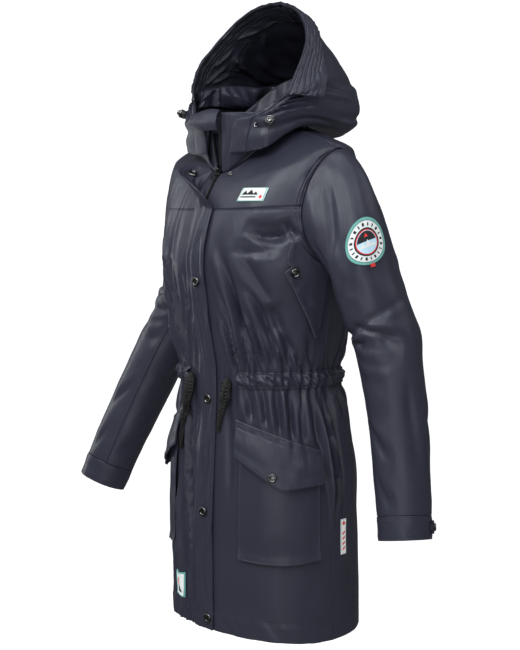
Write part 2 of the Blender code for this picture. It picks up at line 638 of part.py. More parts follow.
def sleeve_cloth(table, side, turn, row):
    """Points and outward normals of a sleeve.  The right sleeve is a left one mirrored, in its own pose."""
    turn, row = np.broadcast_arrays(np.asarray(turn, float), np.asarray(row, float))
    small_turn, small_row = 0.2, 2e-3
    across = sleeve(table, turn + small_turn, row) - sleeve(table, turn - small_turn, row)
    ahead = sleeve(table, turn, row + small_row) - sleeve(table, turn, np.clip(row - small_row, 0, None))
    normal = unit(np.cross(across, ahead))
    lift = fold_lift(SLEEVE_FOLDS, turn, row, 360.0, (0.001, 0.065))
    point = sleeve(table, turn, row) + normal * lift[..., None]
    mirror = np.array([side, 1, 1])
    point, normal = point * mirror, normal * mirror
    return (point, normal) if side > 0 else (point[:, ::-1], normal[:, ::-1])


def make_sleeves():
    gap = 0.7  # degrees, beside the lengthwise seams
    top = np.arange(BACK_SEAM - 360, FRONT_SEAM + 1, TURN)
    under = np.arange(FRONT_SEAM, BACK_SEAM + 1, TURN)
    for turns in (top, under):
        turns[0] += gap
        turns[-1] -= gap
    whole = np.arange(0, 360, TURN)
    rows = [0.012, *CAP_ROWS[1:], *ARM_ROWS[:-1], ARM_ROWS[-1] - 0.005]
    for label, table, side in (("left", LEFT_SLEEVE, 1), ("right", RIGHT_SLEEVE, -1)):
        for part, turns in (("top", top), ("under", under)):
            points, normals = sleeve_cloth(table, side, *grid_of(turns, rows))
            wall(f"sleeve_{label}_{part}", points, normals, -CLOTH, 0)
        points, normals = sleeve_cloth(table, side, *grid_of(whole, CUFF_ROWS))
        wall(f"cuff_{label}", points, normals, 0.0006 - DOUBLE_CLOTH, 0.0006, wrap=True)
        make_cuff_tab(label, table, side)


def make_cuff_tab(label, table, side):
    """The strap on the back of the cuff, with its snap."""
    start, end = CUFF_TABS[label]
    rows = CUFF_ROWS[0] + (CUFF_ROWS[2] - CUFF_ROWS[0]) * np.array([0.22, 0.5, 0.78])
    points, normals = sleeve_cloth(table, side, *grid_of(np.arange(start, end + 1, TURN / 2), rows))
    stand = 0.0006 + LAY_GAP
    wall(f"cuff_tab_{label}", points, normals, stand, stand + DOUBLE_CLOTH)
    place, normal = sleeve_cloth(table, side, np.array([[end - TURN]]), rows[1:2, None])
    place = place[0, 0] + normal[0, 0] * (stand + DOUBLE_CLOTH + SNAP_STAND)
    snap(f"cuff_snap_{label}", place, normal[0, 0], CUFF_SNAP_RADIUS)


# ---------------------------------------------------------------------------------------------------------
# Hood, brim and lining
# ---------------------------------------------------------------------------------------------------------
def hood(across, row):
    """A point of the hood's left half: across is 0 at the face edge and 4 at the back middle.

    Row 0 is on the neck seam, and rows 1 to 10 are those of HOOD.
    """
    across, row = np.broadcast_arrays(np.asarray(across, float), np.asarray(row, float))
    half = np.array(list(HOOD.values()), float) / 1000
    mirrored = half[:, -2::-1] * np.array([-1, 1, 1])
    rows = spline(np.concatenate([half, mirrored], axis=1), np.clip(row - 1, 0, None))
    point = read_along(rows, across)
    foot = body(HOOD_START + (0.5 - HOOD_START) * across / 4, NECK_ROW)
    foot = foot + unit(foot * np.array([1, 1, 0])) * 0.0030 + np.array([0, 0, 0.0028])
    share = np.clip(row, 0, 1)[..., None]
    point = foot + (point - foot) * share
    tilt = HOOD_TILT * smooth(0.0, 0.08, point[..., 2])
    return point - np.array([0, 0, 1.0]) * (tilt * point[..., 0])[..., None]


def read_along(rows, at):
    """The cubic along the second last axis of rows, read at the places in at, one for each of rows."""
    values = np.moveaxis(rows, -2, 0)
    slope = slopes(values)
    i = np.clip(np.floor(at).astype(int), 0, len(values) - 2)
    f = (at - i)[..., None]

    def pick(table, index):
        index = np.repeat(index[None, ..., None], 3, -1)
        return np.take_along_axis(table, index, 0)[0]

    return cubic(pick(values, i), pick(values, i + 1), pick(slope, i), pick(slope, i + 1), f)


def untilted(point, side):
    """Mirrors a hood point to the wearer's right, where the tilt lifts it instead of lowering it."""
    if side > 0:
        return point
    tilt = HOOD_TILT * smooth(0.0, 0.08, point[..., 2])
    lift = 2 * (tilt * point[..., 0])[..., None]
    return point * np.array([-1, 1, 1]) + np.array([0, 0, 1.0]) * lift


def hood_cloth(across, row):
    """Points and outward normals of the hood's left half."""
    small = 1e-3
    ridge = len(HOOD)
    inside = np.clip(row, 0, ridge - 0.05)
    sideways = hood(across + small, inside) - hood(across - small, inside)
    upward = hood(across, inside + small) - hood(across, np.clip(inside - small, 0, None))
    return hood(across, row), unit(np.cross(sideways, upward))


def hood_piece(name, across, rows, low, high, side, material="shell"):
    """A wall on the hood, at the wearer's left (side 1) or right (side -1)."""
    points, normals = hood_cloth(across, rows)
    low, high = (np.asarray(x, float)[..., None] for x in (low, high))
    outer, inner = points + normals * high, points + normals * low
    for grid in (outer, inner):
        grid[..., 0] = np.maximum(grid[..., 0], SEAM_GAP / 2)
    outer, inner = untilted(outer, side), untilted(inner, side)
    if side < 0:
        outer, inner = outer[:, ::-1], inner[:, ::-1]
    return wall_between(name, outer, inner, material)


def make_hood():
    channel_rows = (1, 1.5, 2, 2.5, 3, 3.6, 4.3)
    lining_rows = (3.1, 4, 5, 6.3, 7, 8, 9, 9.9)
    for label, side in (("left", 1), ("right", -1)):
        hood_piece(f"hood_{label}", *grid_of(HOOD_ACROSS, HOOD_ROWS), -CLOTH, 0, side)
        hood_piece(
            f"hood_lining_{label}", *grid_of((0.2, 0.9, 2, 2.7, 3.5, 4), lining_rows),
            -LINING_INSET - LINING, -LINING_INSET, side, "lining",
        )
        hood_piece(
            f"hood_channel_{label}", *grid_of((0, CHANNEL_WIDTH), channel_rows),
            CHANNEL_GAP, CHANNEL_GAP + CLOTH, side,
        )
    make_brim()


def make_brim():
    """The stitched brim, one piece over the top of the face edge, its ends standing a little off the hood."""
    across = np.array([x for x in HOOD_ACROSS if x <= BRIM_WIDTH])
    columns, rows = grid_of(across, (BRIM_START, 5.8, 6.6, 7.5, 8.7, 10))
    rows[0] -= BRIM_SLOPE * across / BRIM_WIDTH
    points, normals = hood_cloth(columns, rows)
    stand = LAY_GAP + BRIM_STAND * (columns / BRIM_WIDTH) * smooth(7.2, BRIM_START, rows)
    outer = points + normals * (stand + DOUBLE_CLOTH)[..., None]
    inner = points + normals * stand[..., None]
    for grid in (outer, inner):
        grid[-1, :, 0] = 0
    outer, inner = (np.concatenate([grid, untilted(grid, -1)[-2::-1]]) for grid in (outer, inner))
    wall_between("hood_brim", outer, inner)


def make_hood_cord(side, label):
    """The end of the hood's drawcord: out of the channel and into a cord stopper with a spring button."""
    eyelet, eyelet_normal = hood_cloth(*(np.array(place) for place in HOOD_EYELETS[label]))
    across, row, stand = HOOD_STOPS[label]
    stop, stop_normal = hood_cloth(np.array(across), np.array(row))
    stop = stop + stop_normal * stand
    start = eyelet + eyelet_normal * (HOOD_CORD / 2 + LAY_GAP)
    towards = unit(stop - start)
    end = stop - towards * (STOP_RADIUS + 2 * SEAM_GAP)
    share = np.linspace(0, 1, 7)[:, None]
    hump = np.sin(math.pi * share) * 0.0035
    line = start + (end - start) * share + eyelet_normal * hump
    line = np.array([untilted(point, side) for point in line])
    tube(f"hood_cord_{label}", line, [HOOD_CORD / 2] * len(line), "zip")
    mirror = np.array([side, 1, 1])
    axis = unit(stop_normal * mirror + np.array([0, 0, 0.25]))
    make_stopper(label, untilted(stop, side), axis)


def make_stopper(label, place, axis):
    """A round cord stopper: a barrel with a bore, and the button that slides in it."""
    half, radius = STOP_LENGTH / 2, STOP_RADIUS
    barrel = (
        (0, 0.0005),
        (BUTTON_RADIUS + 0.0005, 0.0005),
        (BUTTON_RADIUS + 0.0005, half),
        (0.78 * radius, half),
        (radius, 0.45 * half),
        (radius, -0.45 * half),
        (0.70 * radius, -half),
        (0, -half),
    )
    turned(f"cord_stop_{label}", barrel, place, axis, "toggle", 14)
    top = half + BUTTON_TRAVEL + 0.0008
    button = (
        (0, top),
        (0.75 * BUTTON_RADIUS, top),
        (BUTTON_RADIUS, top - 0.0008),
        (BUTTON_RADIUS, 0.0005 + BUTTON_TRAVEL + 0.0006),
        (0, 0.0005 + BUTTON_TRAVEL + 0.0006),
    )
    turned(f"cord_stop_button_{label}", button, place, axis, "metal", 12)


# ---------------------------------------------------------------------------------------------------------
# Collar and zip
# ---------------------------------------------------------------------------------------------------------
def collar_right_edge(row):
    low, high = COLLAR_RIGHT_EDGE
    return low + (high - low) * (row / 3) ** 0.8


def collar_grid(columns, rows, left, right):
    """Places on the collar between two distances from the front middle, right the long way round."""
    start = np.array([around_at(left(row), row, collar) for row in rows])
    end = np.array([1 - around_at(right(row), row, collar) for row in rows])
    return start[:, None] + (end - start)[:, None] * np.linspace(0, 1, columns + 1), np.asarray(rows)[:, None]


def make_collar():
    rows = np.array([0, 0.75, 1.5, 2.25, 3])
    points, normals = surface(collar, *collar_grid(30, rows, lambda row: COLLAR_LEFT_EDGE, collar_right_edge))
    wall("collar", points, normals, -DOUBLE_CLOTH, 0)
    x, root_y, root_z, top_y, top_z, low_y, low_z = np.array(TURNBACK).T
    lines = [np.stack([x, root_y, root_z], -1)]
    for share in np.linspace(0, 1, 4):
        bulge = 0.006 * math.sin(math.pi * share)
        lines.append(np.stack([x, top_y + (low_y - top_y) * share - bulge, top_z + (low_z - top_z) * share], -1))
    fold = np.array(lines)
    wall("collar_turnback", fold, grid_normals(fold), -DOUBLE_CLOTH / 2, DOUBLE_CLOTH / 2)


def make_zip():
    rows = sorted({*UNDER_YOKE_ROWS[:-1], YOKE_ROW, *ABOVE_YOKE_ROWS[1:-2], SLIDER_ROW})
    rows = [row for row in rows if 0.3 <= row <= SLIDER_ROW]
    around = np.array([[-around_at(ZIP_HALF - 0.0004, row), around_at(ZIP_HALF - 0.0004, row)] for row in rows])
    points, normals = body_cloth(around, np.array(rows)[:, None])
    wall("zip_chain", points, normals, -0.0012, 0.0006, "zip")
    tape_rows = np.array([0.4, 1.0, 1.6, 2.25])
    edge, width = TAPE_EDGE
    for label, side in (("left", 1), ("right", -1)):
        near = [COLLAR_LEFT_EDGE if side > 0 else float(collar_right_edge(row)) for row in tape_rows]
        shares = np.array([
            [around_at(d - width, row, collar), around_at(d - edge, row, collar)]
            for d, row in zip(near, tape_rows)
        ])
        around = shares if side > 0 else -shares[:, ::-1]
        points, normals = surface(collar, around, tape_rows[:, None])
        wall(f"zip_tape_{label}", points, normals, -0.0022, -0.0004, "zip")
    guard_rows = np.array([0.1, 0.8, 1.5, 2.1])
    ends = [(around_at(GUARD_SPAN[0], row, collar), around_at(GUARD_SPAN[1], row, collar)) for row in guard_rows]
    around = np.array([np.linspace(*pair, 6) for pair in ends])
    points, normals = surface(collar, around, guard_rows[:, None])
    wall("zip_guard", points, normals, -GUARD_INSET - CLOTH, -GUARD_INSET, "lining")


def slider_frame():
    """The slider's place on the zip, and its outward, downward and sideways directions."""
    point, normal = surface(body, np.array(0.0), np.array(SLIDER_ROW))
    below = body(np.array(0.0), np.array(SLIDER_ROW - 0.4))
    down = unit(below - point)
    out = unit(normal - down * float(np.dot(normal, down)))
    return point, out, down


def place_matrix(place, out, down):
    """A frame with -Z down the zip, -Y outwards and X to the wearer's left."""
    matrix = Matrix((
        (1, -out[0], -down[0]),
        (0, -out[1], -down[1]),
        (0, -out[2], -down[2]),
    )).to_4x4()
    matrix.translation = place
    return matrix


def box(shape, size, at):
    made = bmesh.ops.create_cube(shape, size=1)
    bmesh.ops.scale(shape, vec=size, verts=made["verts"])
    bmesh.ops.translate(shape, vec=at, verts=made["verts"])


def make_slider():
    """The zip's slider with its two lugs and cross pin, and the pull that swings on the pin."""
    point, out, down = slider_frame()
    matrix = place_matrix(point + out * 0.0012, out, down)
    pin_y, pin_z = -0.0062, 0.0030
    mesh = bpy.data.meshes.new("zip_slider")
    shape = bmesh.new()
    box(shape, (0.0094, 0.0030, 0.0130), (0, -0.0015, 0))
    shape.to_mesh(mesh)
    shape.free()
    slider = add("zip_slider", mesh, "metal")
    for side in (-1, 1):
        lug = cutter(f"slider_lug_{side}", box, size=(0.0012, 0.0056, 0.0040), at=(side * 0.0037, -0.0052, pin_z))
        lug.matrix_world = matrix
        boolean(slider, lug, "UNION")
    pin = cutter("slider_pin", box, size=(0.0070, 0.0012, 0.0012), at=(0, pin_y, pin_z))
    pin.matrix_world = matrix
    boolean(slider, pin, "UNION")
    slider.matrix_world = matrix

    curve = bpy.data.curves.new("zip_pull", "CURVE")
    curve.dimensions = "2D"
    curve.fill_mode = "BOTH"
    curve.extrude = PULL_WIDTH / 2
    eye, hole, thick = 0.0023, 0.0013, 0.0014
    arc = np.radians(np.linspace(-70, 250, 13))
    ring_outline = [(eye * math.cos(a), eye * math.sin(a)) for a in arc]
    tail = [(-thick / 2, -PULL_LENGTH), (thick / 2, -PULL_LENGTH)]
    inside = [(hole * math.cos(a), hole * math.sin(a)) for a in np.linspace(0, 2 * math.pi, 11)[:-1]]
    for outline in (ring_outline + tail, inside):
        points = curve.splines.new("POLY")
        points.points.add(len(outline) - 1)
        points.use_cyclic_u = True
        for slot, place in zip(points.points, outline):
            slot.co = (*place, 0, 1)
    pull = add("zip_pull", curve, "metal")
    turn = Matrix(((0, 0, 1, 0), (1, 0, 0, 0), (0, 1, 0, 0), (0, 0, 0, 1)))
    hinge = matrix @ Vector((0, pin_y, pin_z))
    pull.matrix_world = Matrix.Translation(hinge) @ matrix.to_3x3().to_4x4() @ turn


# ---------------------------------------------------------------------------------------------------------
# Storm flap and its snaps
# ---------------------------------------------------------------------------------------------------------
def flap_point(share, row):
    """A point of the storm flap: share is 0 at its sewn edge and 1 at its free edge."""
    share, row = np.broadcast_arrays(np.asarray(share, float), np.asarray(row, float))
    turned_back = smooth(FLAP_TOP_SHUT, FLAP_TOP_OPEN, body(np.zeros_like(row), row)[..., 2])
    width = (FLAP_FREE - FLAP_FIXED) * share
    stand = SEWN_STAND + (FLAP_STAND - SEWN_STAND) * smooth(0, 0.33, share)
    point, normal = body_cloth(np.vectorize(around_at)(FLAP_FIXED + width, row), row)
    shut = point + normal * stand[..., None]
    sewn = np.vectorize(around_at)(FLAP_FIXED, row)
    point, normal = body_cloth(sewn, row)
    across = unit((body(sewn + 0.002, row) - body(sewn - 0.002, row)) * np.array([1, 1, 0]))
    angle = np.radians(FLAP_TURN) * turned_back
    ahead, out = (width * np.cos(angle))[..., None], (stand + width * np.sin(angle))[..., None]
    opened = point + across * ahead + normal * out
    return shut + (opened - shut) * smooth(0, 0.15, turned_back)[..., None]


def make_flap():
    rows = sorted({*UNDER_YOKE_ROWS[:-1], YOKE_ROW, *ABOVE_YOKE_ROWS[1:-1], *FLAP_TOP_ROWS})
    shares = (0, 0.33, 0.67, 1)
    points = flap_point(*grid_of(shares, rows))
    normals = grid_normals(points)
    wall("storm_flap", points, normals, -DOUBLE_CLOTH / 2, DOUBLE_CLOTH / 2)
    for number, (height, share) in enumerate(FRONT_SNAPS, 1):
        place_flap_snap(f"flap_snap_{number}", share, row_at(height), 1)
    place_flap_snap(f"flap_snap_{len(FRONT_SNAPS) + 1}", *TOP_SNAP, -1, TOP_SNAP_STAND)
    distance, row = FLAP_STUD
    place, normal = body_cloth(np.array(around_at(distance, row)), np.array(row))
    snap("flap_stud", place + normal * SNAP_STAND, normal, STUD_RADIUS)


def place_flap_snap(name, share, row, face, stand=SNAP_STAND):
    """A snap on the flap: face is 1 on its outer face and -1 on its inner one."""
    step = 0.02
    grid = flap_point(*grid_of((share - step, share, share + step), (row - step, row, row + step)))
    normal = grid_normals(grid)[1, 1] * face
    snap(name, grid[1, 1] + normal * (DOUBLE_CLOTH / 2 + stand), normal)


# ---------------------------------------------------------------------------------------------------------
# Pockets
# ---------------------------------------------------------------------------------------------------------
def heights_to_rows(heights):
    """Rows of the body at these heights, where a row is level all round."""
    heights = np.asarray(heights, float)
    rows = np.linspace(0, NECK_ROW, 1201)
    return np.interp(heights, body(np.zeros_like(rows), rows)[:, 2], rows)


def make_pockets():
    columns = np.array(POCKET_COLUMNS, float)
    share = (columns - columns[0]) / (columns[-1] - columns[0])
    top = POCKET_TOP[0] + (POCKET_TOP[1] - POCKET_TOP[0]) * share
    bottom = POCKET_BOTTOM[0] + (POCKET_BOTTOM[1] - POCKET_BOTTOM[0]) * share
    down = np.linspace(0, 1, 5)[::-1, None]
    rows = heights_to_rows(top + (bottom - top) * down)
    grid = np.repeat(columns[None, :], len(rows), 0)
    for label, side in (("left", 1), ("right", -1)):
        front_piece(f"patch_pocket_{label}", grid, rows, side, PATCH_STAND, PATCH_STAND + CLOTH)
    flap_columns = np.array([columns[0] - 0.3, *columns, columns[-1] + 0.35])
    share = (flap_columns - flap_columns[0]) / (flap_columns[-1] - flap_columns[0])
    top = FLAP_TOP[0] + (FLAP_TOP[1] - FLAP_TOP[0]) * share
    length = np.interp(share, (0, FLAP_POINT, 1), FLAP_LENGTHS)
    down = np.linspace(0, 1, 4)[::-1, None]
    rows = heights_to_rows(top - length * down)
    grid = np.repeat(flap_columns[None, :], len(rows), 0)
    low = PATCH_STAND + CLOTH + LAY_GAP
    for label, side in (("left", 1), ("right", -1)):
        front_piece(f"pocket_flap_{label}", grid, rows, side, low, low + DOUBLE_CLOTH)
        height = FLAP_TOP[0] + (FLAP_TOP[1] - FLAP_TOP[0]) * FLAP_POINT - FLAP_LENGTHS[1] + POCKET_SNAP_RISE
        front_snap(f"pocket_snap_{label}", POCKET_SNAP_COLUMN, height, side, low + DOUBLE_CLOTH)
        make_welt(label, side)


def make_welt(label, side):
    """The hand pocket's pointed welt, sewn along its side edge."""
    table = np.array(WELT)
    inner = np.arange(12, WELT_SIDE)
    columns = np.array([
        [left, *np.clip(inner, left + 0.12 * (1 + np.arange(len(inner))), None), WELT_SIDE] for left in table[:, 1]
    ])
    rows = np.repeat(heights_to_rows(table[:, 0])[:, None], columns.shape[1], 1)
    front_piece(f"hand_pocket_{label}", columns[::-1], rows[::-1], side, WELT_STAND, WELT_STAND + DOUBLE_CLOTH)
    front_snap(f"hand_snap_{label}", *HAND_SNAP, side, WELT_STAND + DOUBLE_CLOTH)


def front_snap(name, column, height, side, lift):
    """A snap on a piece of a front whose outer face is lift above the panel."""
    place, normal = front_cloth(np.array(column), heights_to_rows(height), side)
    snap(name, place + normal * (lift + SNAP_STAND), normal, POCKET_SNAP_RADIUS)


def make_waist_cords():
    for label, side, route in (("left", 1, LEFT_WAIST_CORD), ("right", -1, RIGHT_WAIST_CORD)):
        table = np.array(route)
        read = spline(table, np.linspace(0, len(table) - 1, 12))
        line = []
        for distance, height, stand, radius in read:
            row = float(heights_to_rows(height))
            place, normal = body_cloth(np.array(side * around_at(distance, row)), np.array(row))
            line.append(place + normal * (stand + radius))
        tube(f"waist_cord_{label}", line, read[:, 3], "elastic")


# ---------------------------------------------------------------------------------------------------------
# Patches and tags, all with plain faces
# ---------------------------------------------------------------------------------------------------------
def make_patches():
    """Flat patches: each is a four-sided piece between two distances from the front middle, which may slant."""
    for name, ((low, high), (near, far), slant, stand) in PATCHES.items():
        up, across = grid_of((0, 0.5, 1), (0, 0.5, 1))[::-1]
        distances = near + (far - near) * across + slant * up
        points, normals = place_on_body(distances, low + (high - low) * up)
        wall(name, points, normals, stand, stand + PATCH_CLOTH, "patch")


def place_on_body(distances, heights):
    """Points and normals at distances from the front middle, along the cloth, and heights."""
    around, row = np.zeros_like(distances), np.zeros_like(distances)
    for at, distance in np.ndenumerate(distances):
        guess = 0.1
        for _ in range(4):
            row[at] = row_at(heights[at], guess)
            guess = around_at(distance, row[at])
        around[at] = guess
    return body_cloth(around, row)


def make_sleeve_badge():
    """A round badge on the wearer's left sleeve: a disc cut from the sleeve's points, moved out."""
    spokes = 18
    angle = np.linspace(0, 2 * math.pi, spokes, endpoint=False)
    middle, middle_normal = sleeve_cloth(LEFT_SLEEVE, 1, np.array([[BADGE_TURN]]), np.array([[BADGE_ROW]]))
    reach = np.linspace(0, 1, 200)[:, None]  # outwards along each spoke, to find where the radius is met
    turns = BADGE_TURN - 60 * reach * np.cos(angle)
    rows = BADGE_ROW - 0.7 * reach * np.sin(angle)
    distance = np.linalg.norm(sleeve(LEFT_SLEEVE, turns, rows) - middle[0, 0], axis=-1)
    ends = np.array([np.interp(BADGE_RADIUS, distance[:, j], reach[:, 0]) for j in range(spokes)])
    shares = np.array([1.0, 0.66, 0.33])[:, None] * ends
    turns = BADGE_TURN - 60 * shares * np.cos(angle)
    rows = BADGE_ROW - 0.7 * shares * np.sin(angle)
    points, normals = sleeve_cloth(LEFT_SLEEVE, 1, turns, rows)
    low, high = PATCH_LIFT, PATCH_LIFT + PATCH_CLOTH
    layers = [
        (points + normals * high, middle[0, 0] + middle_normal[0, 0] * high),
        (points + normals * low, middle[0, 0] + middle_normal[0, 0] * low),
    ]
    mesh = bpy.data.meshes.new("sleeve_badge")
    shape = bmesh.new()
    corners = []
    for grid, centre in layers:
        corners.append(([[shape.verts.new(p) for p in ring_] for ring_ in grid], shape.verts.new(centre)))
    for (grid, centre), flip in zip(corners, (False, True)):
        for j in range(spokes):
            after = (j + 1) % spokes
            quads = [(grid[i][j], grid[i][after], grid[i + 1][after], grid[i + 1][j]) for i in range(2)]
            quads.append((grid[2][j], grid[2][after], centre))
            for corner in quads:
                shape.faces.new(corner[::-1] if flip else corner)
    top, under = corners[0][0][0], corners[1][0][0]
    for j in range(spokes):
        after = (j + 1) % spokes
        shape.faces.new((top[after], top[j], under[j], under[after]))
    bmesh.ops.recalc_face_normals(shape, faces=shape.faces)
    bmesh.ops.triangulate(shape, faces=shape.faces)
    shape.to_mesh(mesh)
    shape.free()
    add("sleeve_badge", mesh, "patch")


def main():
    make_fronts()
    make_back()
    make_casing()
    make_sleeves()
    make_hood()
    make_hood_cord(1, "left")
    make_hood_cord(-1, "right")
    make_collar()
    make_zip()
    make_slider()
    make_flap()
    make_pockets()
    make_waist_cords()
    make_patches()
    make_sleeve_badge()


clear_scene()
MADE = make_materials()
PARTS = new_collection("raincoat")
CUTTERS = new_collection("cutters")
main()
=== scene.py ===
"""The hooded raincoat's looks: creased cloth, stitching, zip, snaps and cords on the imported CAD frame.

Every cloth piece is a thin shell on the same worked-out surface as its CAD solid, with its creases added in
metres along the surface's normal.  Units are metres; the coat faces -Y and the wearer's left side is +X.
"""

import math
from functools import partial

import bmesh
import bpy
import numpy as np
from mathutils import Matrix, Vector


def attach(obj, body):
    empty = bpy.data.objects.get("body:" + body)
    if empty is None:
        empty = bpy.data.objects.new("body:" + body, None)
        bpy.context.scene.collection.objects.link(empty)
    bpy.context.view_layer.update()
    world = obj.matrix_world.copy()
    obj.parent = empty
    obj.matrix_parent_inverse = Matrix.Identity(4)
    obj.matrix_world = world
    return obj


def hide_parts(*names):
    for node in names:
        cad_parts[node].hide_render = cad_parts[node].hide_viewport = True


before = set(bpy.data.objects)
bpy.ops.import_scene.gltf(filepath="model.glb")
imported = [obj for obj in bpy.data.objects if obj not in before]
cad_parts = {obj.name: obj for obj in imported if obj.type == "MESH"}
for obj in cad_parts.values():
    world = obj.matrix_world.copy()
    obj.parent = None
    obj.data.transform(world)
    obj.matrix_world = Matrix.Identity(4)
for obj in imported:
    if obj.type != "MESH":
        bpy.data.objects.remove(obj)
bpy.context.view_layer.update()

# ---- Driving dimensions, in metres ----
CLOTH = 0.0016  # coated shell cloth with its backing
DOUBLE_CLOTH = 0.0026  # two layers sewn together: brim, flaps, straps
LINING = 0.0012
LINING_INSET = 0.0047
SEAM_GAP = 0.00003
LAY_GAP = 0.0005  # under a piece that lies on another

FRONT_COLUMNS = 18  # cells round each front, and half of the back
SIDES = (("left", 1), ("right", -1))
SIDE = 0.25  # share of the way round, from the front middle, of the side seam
ARMPIT_ROW, YOKE_ROW, SHOULDER_ROW, NECK_ROW = 6.0, 8.0, 10.0, 12.0  # rows of BODY
ARMHOLE_FRONT, ARMHOLE_BACK = 0.078, 0.066  # half openings, as shares of the way round

ZIP_HALF = 0.0032  # half the width of the closed zip
TAPE_EDGE = (0.0008, 0.0040)  # gap beside the collar's edge, and width, of the open zip's tapes
FLAP_FIXED, FLAP_FREE = -0.020, 0.029  # storm flap's sewn and free edges, from the front middle
FLAP_TOP_OPEN, FLAP_TOP_SHUT = -0.080, -0.144  # between these heights the flap turns back
SNAP_RADIUS, STUD_RADIUS, CUFF_SNAP_RADIUS, POCKET_SNAP_RADIUS = 0.0082, 0.0054, 0.0064, 0.0078
# Height of each snap on the storm flap, and how far across it the snap is.
FRONT_SNAPS = ((-0.257, 0.60), (-0.456, 0.62), (-0.648, 0.58), (-0.830, 0.78))
CASING_LOW, CASING_HIGH = -0.434, -0.406  # the waist casing
CASING_STARTS = {"left": 5, "right": 3}  # columns of the fronts where the drawstring leaves it

# Rings of the coat's body, hem to neck.  z: height at the front middle, the sides and the back middle.
# square: 2 is an ellipse, and more is squarer.
RING_SIZES = ("z_front", "z_side", "z_back", "half_width", "front", "back", "middle", "square")
BODY = {
    "hem": (-0.850, -0.862, -0.857, 0.174, 0.142, 0.148, 0.006, 2.25),
    "skirt": (-0.700, -0.700, -0.700, 0.173, 0.142, 0.146, 0.004, 2.25),
    "hip": (-0.580, -0.580, -0.580, 0.171, 0.136, 0.139, 0.002, 2.25),
    "belly": (-0.490, -0.490, -0.490, 0.159, 0.129, 0.124, 0.000, 2.25),
    "waist": (-0.420, -0.420, -0.420, 0.147, 0.127, 0.109, 0.000, 2.20),
    "ribs": (-0.335, -0.335, -0.335, 0.160, 0.141, 0.114, 0.000, 2.20),
    "armpit": (-0.228, -0.228, -0.228, 0.184, 0.154, 0.120, 0.000, 2.20),
    "chest": (-0.175, -0.180, -0.180, 0.190, 0.146, 0.119, 0.000, 2.25),
    "yoke": (-0.138, -0.130, -0.132, 0.193, 0.134, 0.116, 0.000, 2.30),
    "upper": (-0.113, -0.080, -0.085, 0.195, 0.122, 0.110, 0.000, 2.30),
    "shoulder": (-0.097, -0.040, -0.044, 0.191, 0.112, 0.101, 0.000, 2.25),
    "slope": (-0.086, -0.018, -0.012, 0.136, 0.104, 0.088, 0.000, 2.10),
    "neck": (-0.077, 0.000, 0.012, 0.080, 0.096, 0.070, 0.000, 2.00),
}
RISE = 1.6  # how sharply a ring rises or drops towards its front and back middles

# Sleeve centres down the left and right arms, with the half sizes of the tube round them.
SLEEVE_SIZES = ("x", "y", "z", "depth", "width")
LEFT_SLEEVE = {
    "upper_arm": (0.237, 0.006, -0.234, 0.066, 0.0460),
    "above_elbow": (0.250, 0.018, -0.290, 0.062, 0.0510),
    "elbow": (0.269, 0.028, -0.350, 0.056, 0.0510),
    "forearm": (0.294, 0.026, -0.450, 0.051, 0.0470),
    "lower": (0.315, 0.017, -0.558, 0.047, 0.0440),
    "cuff": (0.334, 0.005, -0.661, 0.044, 0.0410),
}
RIGHT_SLEEVE = {
    "upper_arm": (0.226, 0.031, -0.234, 0.062, 0.0440),
    "above_elbow": (0.238, 0.036, -0.288, 0.059, 0.0500),
    "elbow": (0.259, 0.026, -0.335, 0.056, 0.0525),
    "forearm": (0.295, -0.014, -0.440, 0.052, 0.0490),
    "lower": (0.327, -0.056, -0.550, 0.048, 0.0460),
    "cuff": (0.355, -0.092, -0.655, 0.045, 0.0430),
}
CUFF_ROWS = (5.64, 6)  # of the sleeve
# The strap on each cuff: its two ends as degrees round the sleeve.
CUFF_TABS = {"left": (225.0, 342.0), "right": (285.0, 395.0)}
FRONT_SEAM, BACK_SEAM = 135.0, 225.0  # degrees round the sleeve, from its top towards the front

# The left half of the hood, from just over the neckline to the ridge, in millimetres.
HOOD = {
    # face edge, cheek, side, rear, back middle
    "roll": ((28, -99, -45), (98, -86, -40), (120, -8, 0), (92, 106, -8), (0, 142, -14)),
    "chin": ((42, -95.5, 10), (108, -82, 8), (130, -8, 22), (112, 116, 10), (0, 170, 10)),
    "jaw": ((66, -90, 11.5), (116, -72, 30), (131, 0, 42), (113, 120, 34), (0, 180, 38)),
    "cheek": ((98, -70, 40), (123, -50, 52), (131, 4, 62), (111, 121, 54), (0, 182, 58)),
    "ear": ((122, -53, 70), (128, -25, 78), (130, 12, 85), (105, 120, 78), (0, 178, 80)),
    "temple": ((123.6, -38, 100), (125.5, -10, 104), (122, 26, 108), (95, 112, 102), (0, 163, 102)),
    "brow": ((109, -2, 150), (107, 18, 151), (100, 44, 152), (71, 92, 149), (0, 120, 150)),
    "crown": ((78.5, 21, 190), (75, 42, 186), (67, 64, 180), (45, 82, 174), (0, 100, 172)),
    "roof": ((47, 31, 210), (44, 50, 204), (39, 71, 196), (25, 84, 188), (0, 94, 184)),
    "ridge": ((0, 43, 222), (0, 62, 211), (0, 83, 198), (0, 88, 195), (0, 92, 191)),
}
HOOD_START = 0.044  # from the front middle, as a share of the way round, where the hood is sewn on
HOOD_TILT = 0.12  # the hood hangs over to the wearer's left by this slope
BRIM_START, BRIM_SLOPE, BRIM_WIDTH = 5.0, 0.5, 2.0  # rows and columns of the hood that the brim covers
BRIM_STAND = 0.007  # how far the brim's back edge stands off the hood at its ends
CHANNEL_WIDTH, CHANNEL_GAP = 0.45, 0.0009  # of the drawcord channel along the face edge

